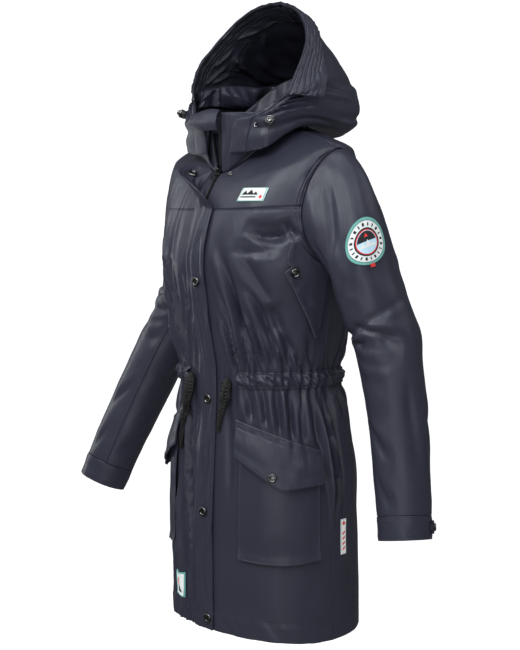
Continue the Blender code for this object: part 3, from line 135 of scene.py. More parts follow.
COLLAR_RINGS = {
    "seam": (-0.0762, 0.0008, 0.0128, 0.0796, 0.0956, 0.0696, 0.000, 2.0),
    "low": (-0.046, 0.008, 0.038, 0.0800, 0.0963, 0.0715, 0.000, 2.0),
    "high": (-0.014, 0.014, 0.064, 0.0808, 0.0968, 0.0745, 0.000, 2.0),
    "top": (0.022, 0.020, 0.090, 0.0815, 0.0972, 0.0775, 0.000, 2.0),
}
GUARD_SPAN, GUARD_INSET = (-0.042, 0.014), 0.0036  # the zip guard behind the collar's opening
COLLAR_LEFT_EDGE = 0.0050  # from the front middle
COLLAR_RIGHT_EDGE = (0.0050, 0.0340)  # at the neck seam and at the top, where the zip is open
# The top right corner of the collar, turned over outwards: places along it, from the opening backwards.
TURNBACK = (
    # x; y and z where it leaves the collar's top edge, at the fold, and at its low edge
    (0.0060, -0.0985, 0.0250, -0.1010, 0.0270, -0.1060, -0.0050),
    (-0.0140, -0.0960, 0.0245, -0.1012, 0.0290, -0.1130, -0.0060),
    (-0.0340, -0.0900, 0.0236, -0.1010, 0.0280, -0.1145, -0.0040),
    (-0.0530, -0.0740, 0.0236, -0.1010, 0.0240, -0.1120, 0.0000),
    (-0.0700, -0.0500, 0.0236, -0.1020, 0.0170, -0.1070, 0.0050),
)

# Pieces on the fronts.  Columns are counted from the zip's edge to the side seam.
POCKET_COLUMNS = (5, 16)
POCKET_TOP, POCKET_BOTTOM = (-0.497, -0.544), -0.718  # the top at the pocket's two sides
FLAP_TOP = (-0.486, -0.538)
FLAP_POINT = 0.50  # share of its width at which the flap is longest
FLAP_LENGTHS = (0.060, 0.085, 0.052)  # at its front, its point and its side
# The hand pocket's welt: each height, and the column its front edge reaches there.
WELT = ((-0.185, 15.6), (-0.200, 14.4), (-0.219, 12.9), (-0.240, 11.2), (-0.264, 12.4), (-0.291, 13.6),
        (-0.319, 14.9), (-0.347, 16.1))
WELT_SIDE = 16.8
HAND_SNAP = (12.4, -0.240)  # column and height
POCKET_SNAP_COLUMN, POCKET_SNAP_RISE = 9.5, 0.020  # the rise is from the flap's point

SEWN_STAND, FLAP_STAND = 0.0018, 0.0032  # from the panels to the flap's middle, at its seam and past it
FLAP_END_ROW = NECK_ROW - 0.2
FLAP_TURN = 150.0  # degrees that its top end is turned back
TOP_SNAP = (0.50, 10.45)  # share across and row, on the inner face of the turned-back end
FLAP_STUD = (0.031, 11.35)  # the half of it on the left yoke: distance from the front middle, and row
SLIDER_ROW = 11.85
PATCH_STAND = 0.0012  # under the patch pockets
WELT_STAND, WELT_RISE = 0.0014, 0.0030  # under the welt, and more at its free edge
FLAP_SNAP_RISE, WELT_SNAP_RISE = 0.0086, 0.0026  # snaps over the flat flap and welt, for their puffed cloth
HOOD_CORD = 0.0030
# Where the hood's cord comes out, across and row of the hood, and where its stopper lies, with its stand too.
HOOD_EYELETS = {"left": (0.62, 1.75), "right": (0.62, 2.35)}
HOOD_STOPS = {"left": (1.05, 1.93, 0.0060), "right": (1.05, 2.75, 0.0070)}
STOP_RADIUS, STOP_LENGTH = 0.0075, 0.0130
BUTTON_RADIUS, BUTTON_TRAVEL = 0.0040, 0.0030
# Free ends of the waist drawstring.
LEFT_WAIST_CORD = (
    # distance from the front middle, height, stand off the cloth, radius
    (0.0537, -0.4180, 0.0008, 0.0070),
    (0.0530, -0.4380, 0.0020, 0.0085),
    (0.0480, -0.4620, 0.0020, 0.0070),
    (0.0415, -0.4850, 0.0015, 0.0045),
    (0.0370, -0.5090, 0.0010, 0.0030),
)
RIGHT_WAIST_CORD = (
    # the same four
    (0.0312, -0.4150, 0.0008, 0.0060),
    (0.0335, -0.4400, 0.0020, 0.0080),
    (0.0400, -0.4650, 0.0020, 0.0070),
    (0.0540, -0.5000, 0.0015, 0.0050),
    (0.0660, -0.5510, 0.0010, 0.0035),
)
BADGE_TURN, BADGE_ROW, BADGE_RADIUS = 20.0, 0.80, 0.036  # the sleeve badge's middle and size
BADGE_STRETCH, BADGE_FOOT = 1.08, 1.01  # its width to its height, and its foot to its face
BADGE_TAB = (0.12, 1.20)  # the tab under it: half its width, and how far its end is from the badge's middle

PATCH_CLOTH, PATCH_LIFT, PATCH_STITCH = 0.0012, 0.0007, 0.0009
PATCHES = {
    # heights, distances from the front middle, how far the top leans, stand off the cloth
    "chest_patch": ((-0.1255, -0.1035), (0.075, 0.127), 0.005, PATCH_LIFT),
    "side_tag": ((-0.719, -0.659), (0.2720, 0.286), 0.000, 0.0009),
    "hem_badge": ((-0.812, -0.768), (-0.084, -0.054), 0.000, 0.0018),
}

# ---- Reading the tables ----
def slopes(values):
    """Slopes at values 0, 1, 2, ... along the first axis, such that the cubic never overshoots them."""
    step = np.diff(values, axis=0)
    product, total = step[:-1] * step[1:], step[:-1] + step[1:]
    middle = np.where(product > 0, 2 * product / np.where(total == 0, 1, total), 0)
    return np.concatenate([step[:1], middle, step[-1:]])


def cubic(start, end, leave, arrive, f):
    """The point at f, from 0 to 1, on a cubic with these ends and end slopes."""
    return (
        start * (1 + 2 * f) * (1 - f) ** 2
        + leave * f * (1 - f) ** 2
        + end * f * f * (3 - 2 * f)
        - arrive * f * f * (1 - f)
    )


def spline(values, at):
    """The cubic through values at 0, 1, 2, ... read at the places in at."""
    values, at = np.asarray(values, float), np.asarray(at, float)
    slope = slopes(values)
    i = np.clip(np.floor(at).astype(int), 0, len(values) - 2)
    f = (at - i).reshape(at.shape + (1,) * (values.ndim - 1))
    return cubic(values[i], values[i + 1], slope[i], slope[i + 1], f)


def smooth(low, high, x):
    """0 below low, 1 above high, and a soft step between them."""
    t = np.clip((np.asarray(x, float) - low) / (high - low), 0, 1)
    return t * t * (3 - 2 * t)


def unit(vectors):
    return vectors / np.linalg.norm(vectors, axis=-1, keepdims=True)


def mix(low, high, share):
    """The value at this share of the way from low to high."""
    return low + (high - low) * share


def bump(off, width):
    """1 at no distance off, and softly less within about this width."""
    return np.exp(-((off / width) ** 2))


def turns(count):
    """Angles evenly round a circle."""
    return np.linspace(0, 2 * math.pi, count, endpoint=False)


def raised(points, normals, by):
    """Points moved along their normals."""
    return points + normals * np.asarray(by)[..., None]


def together(*values):
    """Values as arrays of numbers of one shape."""
    return np.broadcast_arrays(*(np.asarray(value, float) for value in values))


def run_of(line):
    """How far along a line each of its points is."""
    return np.concatenate([[0], np.cumsum(np.linalg.norm(np.diff(line, axis=0), axis=1))])


def read_line(line, run, at):
    """Points of a line at the distances in at, where run is how far along it its own points are."""
    return np.stack([np.interp(at, run, line[:, k]) for k in range(3)], -1)


def walk(line, normals, run, places, step):
    """Points of a line at these places along it, with the directions ahead and outwards there."""
    middle = read_line(line, run, places)
    return middle, unit(read_line(line, run, places + step) - middle), unit(read_line(normals, run, places))


def mirrored(side, grid):
    """A grid whose columns are turned round on the wearer's right, so that it still faces outwards."""
    return grid if side > 0 else grid[:, ::-1]


def lines_at(distance, *edges):
    """Lines of stitching at one distance from several edges."""
    return [(edge, distance) for edge in edges]


def ring(rings, around, row):
    """A point on a stack of rings: around is 0 at the front middle, 0.25 at the wearer's left, 0.5 behind."""
    around, row = together(around, row)
    size = dict(zip(RING_SIZES, np.moveaxis(spline(list(rings.values()), row), -1, 0)))
    angle = 2 * math.pi * around
    across, along = np.sin(angle), np.cos(angle)
    x = size["half_width"] * np.sign(across) * np.abs(across) ** (2 / size["square"])
    deep = np.where(along > 0, size["front"], size["back"])
    y = size["middle"] - deep * np.sign(along) * np.abs(along) ** (2 / size["square"])
    ahead, behind = np.clip(along, 0, 1) ** RISE, np.clip(-along, 0, 1) ** RISE
    z_side = size["z_side"]
    z = z_side + (size["z_front"] - z_side) * ahead + (size["z_back"] - z_side) * behind
    return np.stack([x, y, z], -1)


def surface(function, around, row):
    """Points and outward normals of a surface function of (around, row)."""
    small = 1e-4
    across = function(around + small, row) - function(around - small, row)
    up = function(around, row + small) - function(around, row - small)
    return function(around, row), unit(np.cross(across, up))


def body(around, row):
    return ring(BODY, around, row)


def collar(around, row):
    return ring(COLLAR_RINGS, around, row)


# ---- Places on the coat's surfaces ----
TABLE_ROWS = np.linspace(0, 12, 241)
TABLE_DISTANCES = 0.6 * np.linspace(0, 1, 700) ** 1.5


def distance_table(function, rows):
    """For each row, the share of the way round at each of TABLE_DISTANCES from the front middle."""
    steps = 0.5 * np.linspace(0, 1, 900) ** 1.3
    table = []
    for row in rows:
        line = function(steps, np.full_like(steps, row))
        length = run_of(line)
        table.append(np.interp(TABLE_DISTANCES, length, steps))
    return np.array(table)


def look_up(table, rows, distance, row):
    distance, row = together(distance, row)
    j = np.interp(np.abs(distance), TABLE_DISTANCES, np.arange(len(TABLE_DISTANCES)))
    i = np.interp(row, rows, np.arange(len(rows)))
    i0, j0 = np.clip(np.floor(i).astype(int), 0, len(rows) - 2), np.clip(j.astype(int), 0, table.shape[1] - 2)
    fi, fj = i - i0, j - j0
    low = table[i0, j0] * (1 - fj) + table[i0, j0 + 1] * fj
    high = table[i0 + 1, j0] * (1 - fj) + table[i0 + 1, j0 + 1] * fj
    return np.sign(distance) * (low * (1 - fi) + high * fi)


BODY_TABLE = distance_table(body, TABLE_ROWS)
COLLAR_ROWS = np.linspace(0, 3, 31)
COLLAR_TABLE = distance_table(collar, COLLAR_ROWS)


def around_at(distance, row):
    """The share of the way round the body at which it is this far from its front middle, along the cloth."""
    return look_up(BODY_TABLE, TABLE_ROWS, distance, row)


def collar_around(distance, row):
    return look_up(COLLAR_TABLE, COLLAR_ROWS, distance, row)


def rows_at(heights):
    """Rows of the body at these heights, where a row is level all round."""
    rows = np.linspace(0, NECK_ROW, 1201)
    return np.interp(np.asarray(heights, float), body(np.zeros_like(rows), rows)[:, 2], rows)


def grid_normals(points):
    """Normals of a grid of points, from its neighbours."""
    return unit(np.cross(np.gradient(points, axis=1), np.gradient(points, axis=0)))


def armhole(turn):
    """A place of the armhole's edge on the body: turn is 0 at the shoulder, 90 in front, 180 below."""
    turn = np.radians(np.asarray(turn, float))
    row = ARMPIT_ROW + (SHOULDER_ROW - ARMPIT_ROW) * (1 + np.cos(turn)) / 2
    half = np.where(np.sin(turn) > 0, ARMHOLE_FRONT, ARMHOLE_BACK)
    return SIDE - half * np.sin(turn), row


def armhole_edge(row, half):
    """How far from the side line the armhole's edge is, at rows from the armpit to the shoulder."""
    share = np.clip((np.asarray(row, float) - ARMPIT_ROW) / (SHOULDER_ROW - ARMPIT_ROW), 0, 1)
    return half * np.sqrt(np.clip(1 - (2 * share - 1) ** 2, 0, 1))


def front_around(column, row, side):
    """The share of the way round of a column of the left front (side is 1) or the right one (-1)."""
    start = around_at(ZIP_HALF + SEAM_GAP / 2, row)
    end = SIDE - armhole_edge(row, ARMHOLE_FRONT) - SEAM_GAP
    return side * (start + (end - start) * column / FRONT_COLUMNS)


def back_around(column, row):
    """The share of the way round of the back's columns, 0 at the wearer's left side seam."""
    start = SIDE + armhole_edge(row, ARMHOLE_BACK) + SEAM_GAP
    return start + (1 - 2 * start) * column / (2 * FRONT_COLUMNS)


# ---- Creases, as distances along the surface's normal ----
LATTICE = 24


def noise(place, seed):
    """Smooth noise from -1 to 1, with lumps one unit long, at places (..., 2) or (..., 3)."""
    kinds = place.shape[-1]
    table = np.random.RandomState(seed).uniform(-1, 1, (LATTICE,) * kinds)
    corner = np.floor(place).astype(int)
    share = place - corner
    share = share * share * (3 - 2 * share)
    total = np.zeros(place.shape[:-1])
    for which in np.ndindex((2,) * kinds):
        weight = np.ones(place.shape[:-1])
        for k, step in enumerate(which):
            weight = weight * (share[..., k] if step else 1 - share[..., k])
        total += weight * table[tuple((corner[..., k] + step) % LATTICE for k, step in enumerate(which))]
    return total


def ripples(seed, *measures):
    """The same noise over measures that are given one by one."""
    return noise(np.stack(measures, -1), seed)


def uneven(place, seed, *kinds):
    """Lumps on lumps: each kind is a height and a size, or a size for each axis."""
    return sum(high * noise(place / np.array(size), seed + k) for k, (high, size) in enumerate(kinds))


def wrapped(difference, turn=1.0):
    return np.mod(difference + turn / 2, turn) - turn / 2


CREASE_STRENGTH = 1.85
NO_TURN = 100.0  # for a surface that doesn't close on itself


def beside(ends, sideways, upright, turn, scale):
    """How far places are along the line between two ends, as a share of it, and to its right, in metres."""
    from_side, from_up, to_side, to_up = ends
    line = np.array([(to_side - from_side) * scale[0], (to_up - from_up) * scale[1]])
    length = np.linalg.norm(line)
    line /= length
    across = wrapped(sideways - from_side, turn) * scale[0]
    along = (upright - from_up) * scale[1]
    return (across * line[0] + along * line[1]) / length, across * line[1] - along * line[0]


def creases(table, sideways, upright, turn, scale):
    """Curved troughs.  bow is how far the middle lies to the right of the straight line, lip is the share of
    the depth that stands up as a ridge on the trough's left, and a negative depth makes a ridge."""
    total = np.zeros(np.broadcast(sideways, upright).shape)
    for *ends, bow, width, depth, lip in table:
        share, off = beside(ends, sideways, upright, turn, scale)
        inside = np.clip(share, 0, 1)
        off = off - bow * 4 * inside * (1 - inside)
        t = off / (width * (0.75 + 0.5 * inside))
        fade = smooth(-0.15, 0.30, share) * (1 - smooth(0.62, 1.12, share))
        total -= depth * fade * (np.exp(-t * t) - lip * bump(t + 1.7, 1.15))
    return total


def fold_lift(table, sideways, upright, turn, scale):
    """The lift of the CAD solid's own table of soft folds."""
    total = np.zeros(np.broadcast(sideways, upright).shape)
    for *ends, width, depth in table:
        share, off = beside(ends, sideways, upright, turn, scale)
        total += depth * np.sin(math.pi * np.clip(share, 0, 1)) ** 0.7 * bump(off, width)
    return total


# Share of the body's creases that is left out under the flap, the patches and the waist cords.
FLAP_PLAIN, PATCH_PLAIN, CORD_PLAIN = 0.25, 0.3, 0.6

BODY_FOLDS = (
    # from_around, from_height, to_around, to_height, width, depth
    (0.120, -0.205, 0.150, -0.178, 0.020, -0.0040),
    (0.945, -0.150, 0.915, -0.300, 0.013, 0.0050),
    (0.935, -0.215, 0.900, -0.390, 0.013, -0.0060),
    (0.905, -0.240, 0.875, -0.400, 0.013, 0.0050),
    (0.865, -0.230, 0.840, -0.380, 0.014, -0.0050),
    (0.950, -0.560, 0.930, -0.800, 0.014, 0.0055),
    (0.930, -0.450, 0.905, -0.700, 0.013, -0.0050),
    (0.290, -0.440, 0.300, -0.700, 0.020, 0.0060),
    (0.330, -0.440, 0.345, -0.600, 0.020, -0.0060),
    (0.400, -0.460, 0.410, -0.720, 0.022, 0.0070),
    (0.450, -0.440, 0.460, -0.600, 0.020, -0.0050),
    (0.560, -0.450, 0.550, -0.700, 0.022, -0.0060),
    (0.620, -0.450, 0.635, -0.720, 0.022, 0.0070),
    (0.690, -0.440, 0.700, -0.650, 0.020, -0.0060),
    (0.330, -0.380, 0.350, -0.230, 0.020, 0.0060),
    (0.420, -0.380, 0.400, -0.200, 0.022, -0.0060),
    (0.500, -0.380, 0.495, -0.240, 0.020, 0.0050),
    (0.585, -0.380, 0.600, -0.210, 0.022, 0.0060),
    (0.670, -0.380, 0.650, -0.240, 0.020, -0.0060),
)
BODY_CREASES = (
    # from_around, from_height, to_around, to_height, bow, width, depth, lip: from the low end up
    (0.090, -0.395, 0.046, -0.205, 0.006, 0.0060, 0.0062, 0.55),
    (0.066, -0.402, 0.048, -0.305, 0.002, 0.0045, 0.0046, 0.55),
    (0.152, -0.395, 0.092, -0.262, 0.007, 0.0060, 0.0052, 0.50),
    (0.112, -0.398, 0.074, -0.300, 0.004, 0.0045, 0.0034, 0.50),
    (0.136, -0.285, 0.080, -0.205, -0.004, 0.0090, 0.0038, 0.40),
    (0.079, -0.400, 0.041, -0.262, 0.003, 0.0036, 0.0034, 0.60),
    (0.102, -0.398, 0.063, -0.268, 0.004, 0.0038, 0.0032, 0.60),
    (0.126, -0.398, 0.088, -0.300, 0.004, 0.0036, 0.0030, 0.60),
    (0.143, -0.398, 0.112, -0.322, 0.003, 0.0036, 0.0030, 0.60),
    (0.166, -0.398, 0.140, -0.340, 0.002, 0.0036, 0.0028, 0.60),
    (0.182, -0.398, 0.140, -0.300, 0.004, 0.0075, 0.0040, 0.40),
    (0.205, -0.400, 0.168, -0.345, 0.000, 0.0055, 0.0034, 0.50),
    (0.226, -0.400, 0.214, -0.350, 0.000, 0.0050, 0.0030, 0.40),
    (0.150, -0.345, 0.136, -0.292, 0.000, 0.0170, 0.0052, 0.00),
    (0.085, -0.174, 0.170, -0.172, 0.010, 0.0085, 0.0070, -0.60),
    (0.070, -0.206, 0.150, -0.200, 0.004, 0.0090, 0.0030, -0.50),
    (0.150, -0.160, 0.172, -0.186, 0.000, 0.0060, 0.0040, 0.40),
    # under the casing
    (0.094, -0.520, 0.092, -0.436, 0.000, 0.0060, 0.0040, 0.50),
    (0.122, -0.500, 0.126, -0.436, 0.000, 0.0065, 0.0034, 0.50),
    (0.148, -0.530, 0.150, -0.436, 0.001, 0.0070, 0.0038, 0.50),
    (0.172, -0.545, 0.176, -0.436, 0.001, 0.0070, 0.0046, 0.60),
    (0.198, -0.560, 0.198, -0.436, -0.001, 0.0070, 0.0042, 0.50),
    (0.256, -0.665, 0.244, -0.440, 0.003, 0.0048, 0.0080, 0.80),
    (0.272, -0.640, 0.262, -0.440, 0.003, 0.0055, 0.0070, 0.60),
    (0.232, -0.600, 0.224, -0.440, 0.002, 0.0080, 0.0045, 0.50),
    (0.050, -0.620, 0.048, -0.440, 0.002, 0.0080, 0.0030, 0.40),
    # the wearer's right front
    (0.952, -0.400, 0.926, -0.160, 0.004, 0.0050, 0.0050, 0.70),
    (0.938, -0.395, 0.905, -0.200, 0.004, 0.0050, 0.0050, 0.70),
    (0.922, -0.395, 0.884, -0.210, 0.004, 0.0055, 0.0046, 0.60),
    (0.900, -0.395, 0.866, -0.200, 0.003, 0.0060, 0.0050, 0.60),
    (0.876, -0.395, 0.846, -0.230, 0.003, 0.0060, 0.0042, 0.50),
    (0.850, -0.395, 0.826, -0.250, 0.003, 0.0070, 0.0044, 0.50),
    (0.960, -0.830, 0.930, -0.450, 0.004, 0.0055, 0.0042, 0.60),
    (0.948, -0.700, 0.912, -0.440, 0.004, 0.0055, 0.0046, 0.60),
    (0.932, -0.800, 0.896, -0.460, 0.004, 0.0060, 0.0042, 0.60),
    (0.910, -0.680, 0.876, -0.440, 0.004, 0.0065, 0.0046, 0.50),
    (0.890, -0.760, 0.856, -0.450, 0.004, 0.0070, 0.0044, 0.50),
    (0.850, -0.620, 0.838, -0.440, 0.000, 0.0070, 0.0046, 0.50),
    (0.812, -0.560, 0.808, -0.440, 0.000, 0.0070, 0.0040, 0.50),
    (0.770, -0.620, 0.774, -0.440, 0.000, 0.0070, 0.0046, 0.50),
    (0.988, -0.770, 0.964, -0.500, 0.003, 0.0034, 0.0022, 0.90),
    (0.980, -0.690, 0.957, -0.450, 0.003, 0.0034, 0.0024, 0.90),
    (0.987, -0.630, 0.974, -0.450, 0.002, 0.0032, 0.0018, 0.90),
    (0.983, -0.850, 0.963, -0.640, 0.003, 0.0036, 0.0024, 0.90),
    (0.969, -0.845, 0.951, -0.600, 0.003, 0.0038, 0.0026, 0.90),
    (0.967, -0.570, 0.953, -0.440, 0.002, 0.0036, 0.0024, 0.90),
    # the back
    (0.300, -0.395, 0.318, -0.280, 0.003, 0.0065, 0.0044, 0.50),
    (0.345, -0.395, 0.372, -0.240, 0.003, 0.0070, 0.0048, 0.50),
    (0.392, -0.395, 0.404, -0.300, 0.002, 0.0060, 0.0036, 0.50),
    (0.440, -0.395, 0.446, -0.260, 0.002, 0.0070, 0.0046, 0.50),
    (0.484, -0.395, 0.482, -0.310, 0.000, 0.0060, 0.0034, 0.50),
    (0.528, -0.395, 0.520, -0.270, -0.002, 0.0070, 0.0046, 0.50),
    (0.572, -0.395, 0.556, -0.300, -0.002, 0.0060, 0.0036, 0.50),
    (0.618, -0.395, 0.590, -0.240, -0.003, 0.0070, 0.0048, 0.50),
    (0.664, -0.395, 0.640, -0.300, -0.002, 0.0060, 0.0036, 0.50),
    (0.706, -0.395, 0.682, -0.270, -0.003, 0.0065, 0.0044, 0.50),
    (0.320, -0.600, 0.326, -0.440, 0.002, 0.0070, 0.0040, 0.50),
    (0.372, -0.560, 0.370, -0.440, 0.000, 0.0065, 0.0036, 0.50),
    (0.428, -0.620, 0.424, -0.440, 0.002, 0.0070, 0.0044, 0.50),
    (0.500, -0.590, 0.504, -0.440, 0.000, 0.0070, 0.0040, 0.50),
    (0.586, -0.620, 0.580, -0.440, -0.002, 0.0070, 0.0044, 0.50),
    (0.650, -0.560, 0.654, -0.440, 0.000, 0.0065, 0.0036, 0.50),
    (0.716, -0.640, 0.714, -0.440, -0.002, 0.0070, 0.0044, 0.50),
    (0.360, -0.215, 0.300, -0.150, 0.004, 0.0100, 0.0042, 0.40),
    (0.640, -0.215, 0.700, -0.150, -0.004, 0.0100, 0.0042, 0.40),
)
SLEEVE_FOLDS = (
    # from_turn, from_row, to_turn, to_row, width, depth
    (62, 0.20, 70, 1.60, 0.013, -0.0050),
    (28, 0.10, 36, 2.10, 0.014, 0.0045),
    (92, 0.90, 98, 2.60, 0.014, 0.0040),
    (20, 3.25, 112, 3.02, 0.014, -0.0055),
    (112, 3.60, 40, 2.60, 0.014, 0.0040),
    (325, 0.60, 332, 2.30, 0.016, -0.0045),
    (250, 2.70, 330, 3.10, 0.016, 0.0055),
    (165, 2.60, 215, 3.20, 0.016, -0.0060),
)
SLEEVE_CREASES = (
    # from_turn, from_row, to_turn, to_row, bow, width, depth, lip: turns in degrees
    (96, 0.80, 44, 0.02, 0.006, 0.0075, 0.0062, -0.50),
    (60, 0.95, 30, 0.06, 0.004, 0.0090, 0.0050, -0.40),
    (30, 0.80, 14, 0.05, 0.002, 0.0100, 0.0032, -0.40),
    (100, 1.70, 80, 0.75, 0.004, 0.0085, 0.0046, -0.40),
    (128, 1.40, 112, 0.30, 0.004, 0.0070, 0.0050, -0.40),
    (118, 3.22, 34, 3.42, 0.006, 0.0060, 0.0026, 0.40),
    (128, 3.46, 60, 3.66, 0.004, 0.0080, 0.0022, 0.40),
    (92, 2.30, 14, 3.20, 0.004, 0.0080, 0.0050, 0.40),
    (128, 2.80, 84, 3.02, 0.002, 0.0060, 0.0044, 0.50),
    (118, 4.30, 66, 4.80, 0.003, 0.0070, 0.0042, 0.50),
    (20, 3.70, 8, 5.10, 0.004, 0.0100, 0.0034, 0.40),
    (104, 5.10, 70, 5.50, 0.003, 0.0075, 0.0030, 0.40),
    (0, 2.20, 344, 3.40, 0.003, 0.0090, 0.0036, 0.40),
    (250, 2.62, 196, 3.14, 0.003, 0.0070, 0.0052, 0.50),
    (300, 2.90, 236, 3.42, 0.003, 0.0075, 0.0044, 0.50),
    (330, 4.10, 282, 4.60, 0.003, 0.0085, 0.0036, 0.40),
    (214, 3.60, 176, 4.10, 0.003, 0.0080, 0.0040, 0.40),
    (196, 4.90, 150, 5.40, 0.003, 0.0080, 0.0034, 0.40),
    (318, 0.90, 336, 0.06, 0.003, 0.0090, 0.0040, 0.40),
    (282, 1.30, 300, 0.20, 0.003, 0.0090, 0.0042, 0.40),
    (240, 1.50, 262, 0.50, 0.003, 0.0080, 0.0042, 0.40),
)
SLEEVE_SCALE = (0.00092, 0.065)  # metres to a degree round, and to a row down
WAIST = (CASING_LOW + CASING_HIGH) / 2
GATHERS, GATHER_DEPTH, GATHER_WIDTH = 64, 0.0045, 0.0046


def gathers(around, height):
    """Uneven pleats up and down from the waist casing, each with its own place, lean and reach."""
    shape = np.broadcast(around, height).shape
    around, height = (np.broadcast_to(x, shape).ravel() for x in (around, height))
    total = np.zeros(around.shape)
    near = np.abs(height - WAIST) < 0.30
    off = height[near] - WAIST
    outside = np.clip(np.abs(off) - (CASING_HIGH - CASING_LOW) / 2, 0, None)
    made = np.zeros(off.shape)
    random = np.random.RandomState(11)
    for i in range(GATHERS):
        centre = (i + random.uniform(-0.34, 0.34)) / GATHERS
        up, down = random.uniform(0.016, 0.070), random.uniform(0.020, 0.080)
        lean = random.uniform(-0.30, 0.30)
        depth, width = GATHER_DEPTH * random.uniform(0.5, 1.5), GATHER_WIDTH * random.uniform(0.7, 1.35)
        side = wrapped(around[near] - centre) - lean * off
        spread = width * (1 + outside / 0.045)
        made += depth * bump(side, spread) * bump(outside, np.where(off > 0, up, down))
    beside_zip = smooth(0.020, 0.052, np.abs(wrapped(around[near])))
    total[near] = (made - 0.5 * GATHER_DEPTH * bump(outside, 0.03)) * beside_zip
    return total.reshape(shape)


def crinkles(signed, height, seed):
    """Long tight upright wrinkles with sharp crests, which lean towards the zip as they go down."""
    lean = signed - 0.10 * height
    first = ripples(seed, lean / 0.0105 + 0.6 * ripples(seed + 3, lean / 0.05, height / 0.09), height / 0.15)
    second = ripples(seed + 1, lean / 0.0060, height / 0.07)
    return 0.0046 * (np.clip(1 - 2.4 * np.abs(first), 0, 1) ** 1.5 - 0.3) + 0.0010 * second


def under_pocket(across, height):
    """1 where a patch pocket and its flap hold the cloth flat, and 0 elsewhere."""
    top = np.interp(across, (0.069, 0.228), FLAP_TOP)
    beside = smooth(0.056, 0.070, across) * (1 - smooth(0.227, 0.241, across))
    return beside * smooth(top + 0.022, top + 0.002, height) * (1 - smooth(-0.715, -0.745, height))


def body_detail(around, height, point):
    """The lift of all the body's creases."""
    signed = wrapped(around)
    total = fold_lift(BODY_FOLDS, around, height, 1.0, (1.0, 1.0))
    total += CREASE_STRENGTH * creases(BODY_CREASES, around, height, 1.0, (1.0, 1.0))
    total += gathers(around, height)
    right = smooth(-0.004, -0.016, signed) * smooth(-0.235, -0.150, signed)
    right = right * (1 - 0.65 * smooth(-0.060, -0.095, signed))
    total += right * (0.25 + 0.75 * (1 - smooth(-0.250, -0.150, height))) * crinkles(signed, height, 21)
    total *= 1 - 0.85 * under_pocket(np.abs(signed), height)
    total += uneven(point, 31, (0.0012, 0.060), (0.0006, (0.018, 0.018, 0.040)))
    return total


def body_cloth(around, row, plain=0.0):
    """Points of the coat's outside with its creases, but for a plain share of them, and the normals of the
    surface without them."""
    around, row = together(around, row)
    point, normal = surface(body, around, row)
    lift = body_detail(around, point[..., 2], point)
    return raised(point, normal, (1 - plain) * lift), normal


# ---- Sleeves and hood, as in the CAD source ----
def sleeve(table, turn, row):
    """A point of a left sleeve: turn is degrees from its top towards the front, row 0 is the armhole."""
    turn, row = together(turn, row)
    angle = np.radians(turn)
    centres = list(table.values())
    along = np.clip(row - 1, 0, None)
    size = dict(zip(SLEEVE_SIZES, np.moveaxis(spline(centres, along), -1, 0)))
    down = unit(spline(centres, along + 0.05)[..., :3] - spline(centres, along - 0.05)[..., :3])
    outward = unit(np.array([1.0, 0, 0]) - down * down[..., :1])
    forward = np.cross(outward, down)
    forward *= np.sign(-forward[..., 1:2])
    round_arm = outward * (size["width"] * np.cos(angle))[..., None]
    round_arm += forward * (size["depth"] * np.sin(angle))[..., None]
    tube_point = np.stack([size["x"], size["y"], size["z"]], -1) + round_arm
    start = body(*armhole(turn))
    high = ((1 + np.cos(angle)) / 2)[..., None]
    leave = high * np.array([1.0, 0, -0.30]) + (1 - high) * np.array([0.62, 0, -0.78])
    reach = np.linalg.norm(tube_point - start, axis=-1, keepdims=True)
    cap = cubic(start, tube_point, leave * reach * 0.85, down * reach * 0.85, np.clip(row, 0, 1)[..., None])
    return np.where(row[..., None] < 1, cap, tube_point)


def sleeve_cloth(table, side, turn, row):
    """Points and outward normals of a sleeve.  The right sleeve is a left one mirrored, in its own pose."""
    turn, row = together(turn, row)
    small_turn, small_row = 0.2, 2e-3
    across = sleeve(table, turn + small_turn, row) - sleeve(table, turn - small_turn, row)
    ahead = sleeve(table, turn, row + small_row) - sleeve(table, turn, np.clip(row - small_row, 0, None))
    normal = unit(np.cross(across, ahead))
    point = sleeve(table, turn, row)
    lift = fold_lift(SLEEVE_FOLDS, turn, row, 360.0, (0.001, 0.065))
    strength = 1.2 if side > 0 else 0.7
    lift = lift + strength * creases(SLEEVE_CREASES, turn, row, 360.0, SLEEVE_SCALE) * smooth(0.0, 0.10, row)
    seed = 41 if side > 0 else 45
    lift = lift + uneven(point, seed, (0.0014, 0.050), (0.0006, 0.020)) * smooth(0, 0.2, row)
    cuff = smooth(5.50, 5.66, row)
    point = raised(point, normal, lift * (1 - 0.85 * cuff))
    return tuple(mirrored(side, grid * np.array([side, 1, 1])) for grid in (point, normal))


def sleeve_grid(table, side, columns, rows):
    """The same, with rows that run up the arm, so that the grid faces outwards."""
    return tuple(grid[::-1, ::-1] for grid in sleeve_cloth(table, side, columns, rows))


def hood(across, row):
    """A point of the hood's left half: across is 0 at the face edge and 4 at the back middle."""
    across, row = together(across, row)
    half = np.array(list(HOOD.values()), float) / 1000
    mirrored = half[:, -2::-1] * np.array([-1, 1, 1])
    rows = spline(np.concatenate([half, mirrored], axis=1), np.clip(row - 1, 0, None))
    point = read_along(rows, across)
    foot = body(HOOD_START + (0.5 - HOOD_START) * across / 4, NECK_ROW)
    foot = foot + unit(foot * np.array([1, 1, 0])) * 0.0030 + np.array([0, 0, 0.0028])
    share = np.clip(row, 0, 1)[..., None]
    point = mix(foot, point, share)
    tilt = HOOD_TILT * smooth(0.0, 0.08, point[..., 2])
    return point - np.array([0, 0, 1.0]) * (tilt * point[..., 0])[..., None]


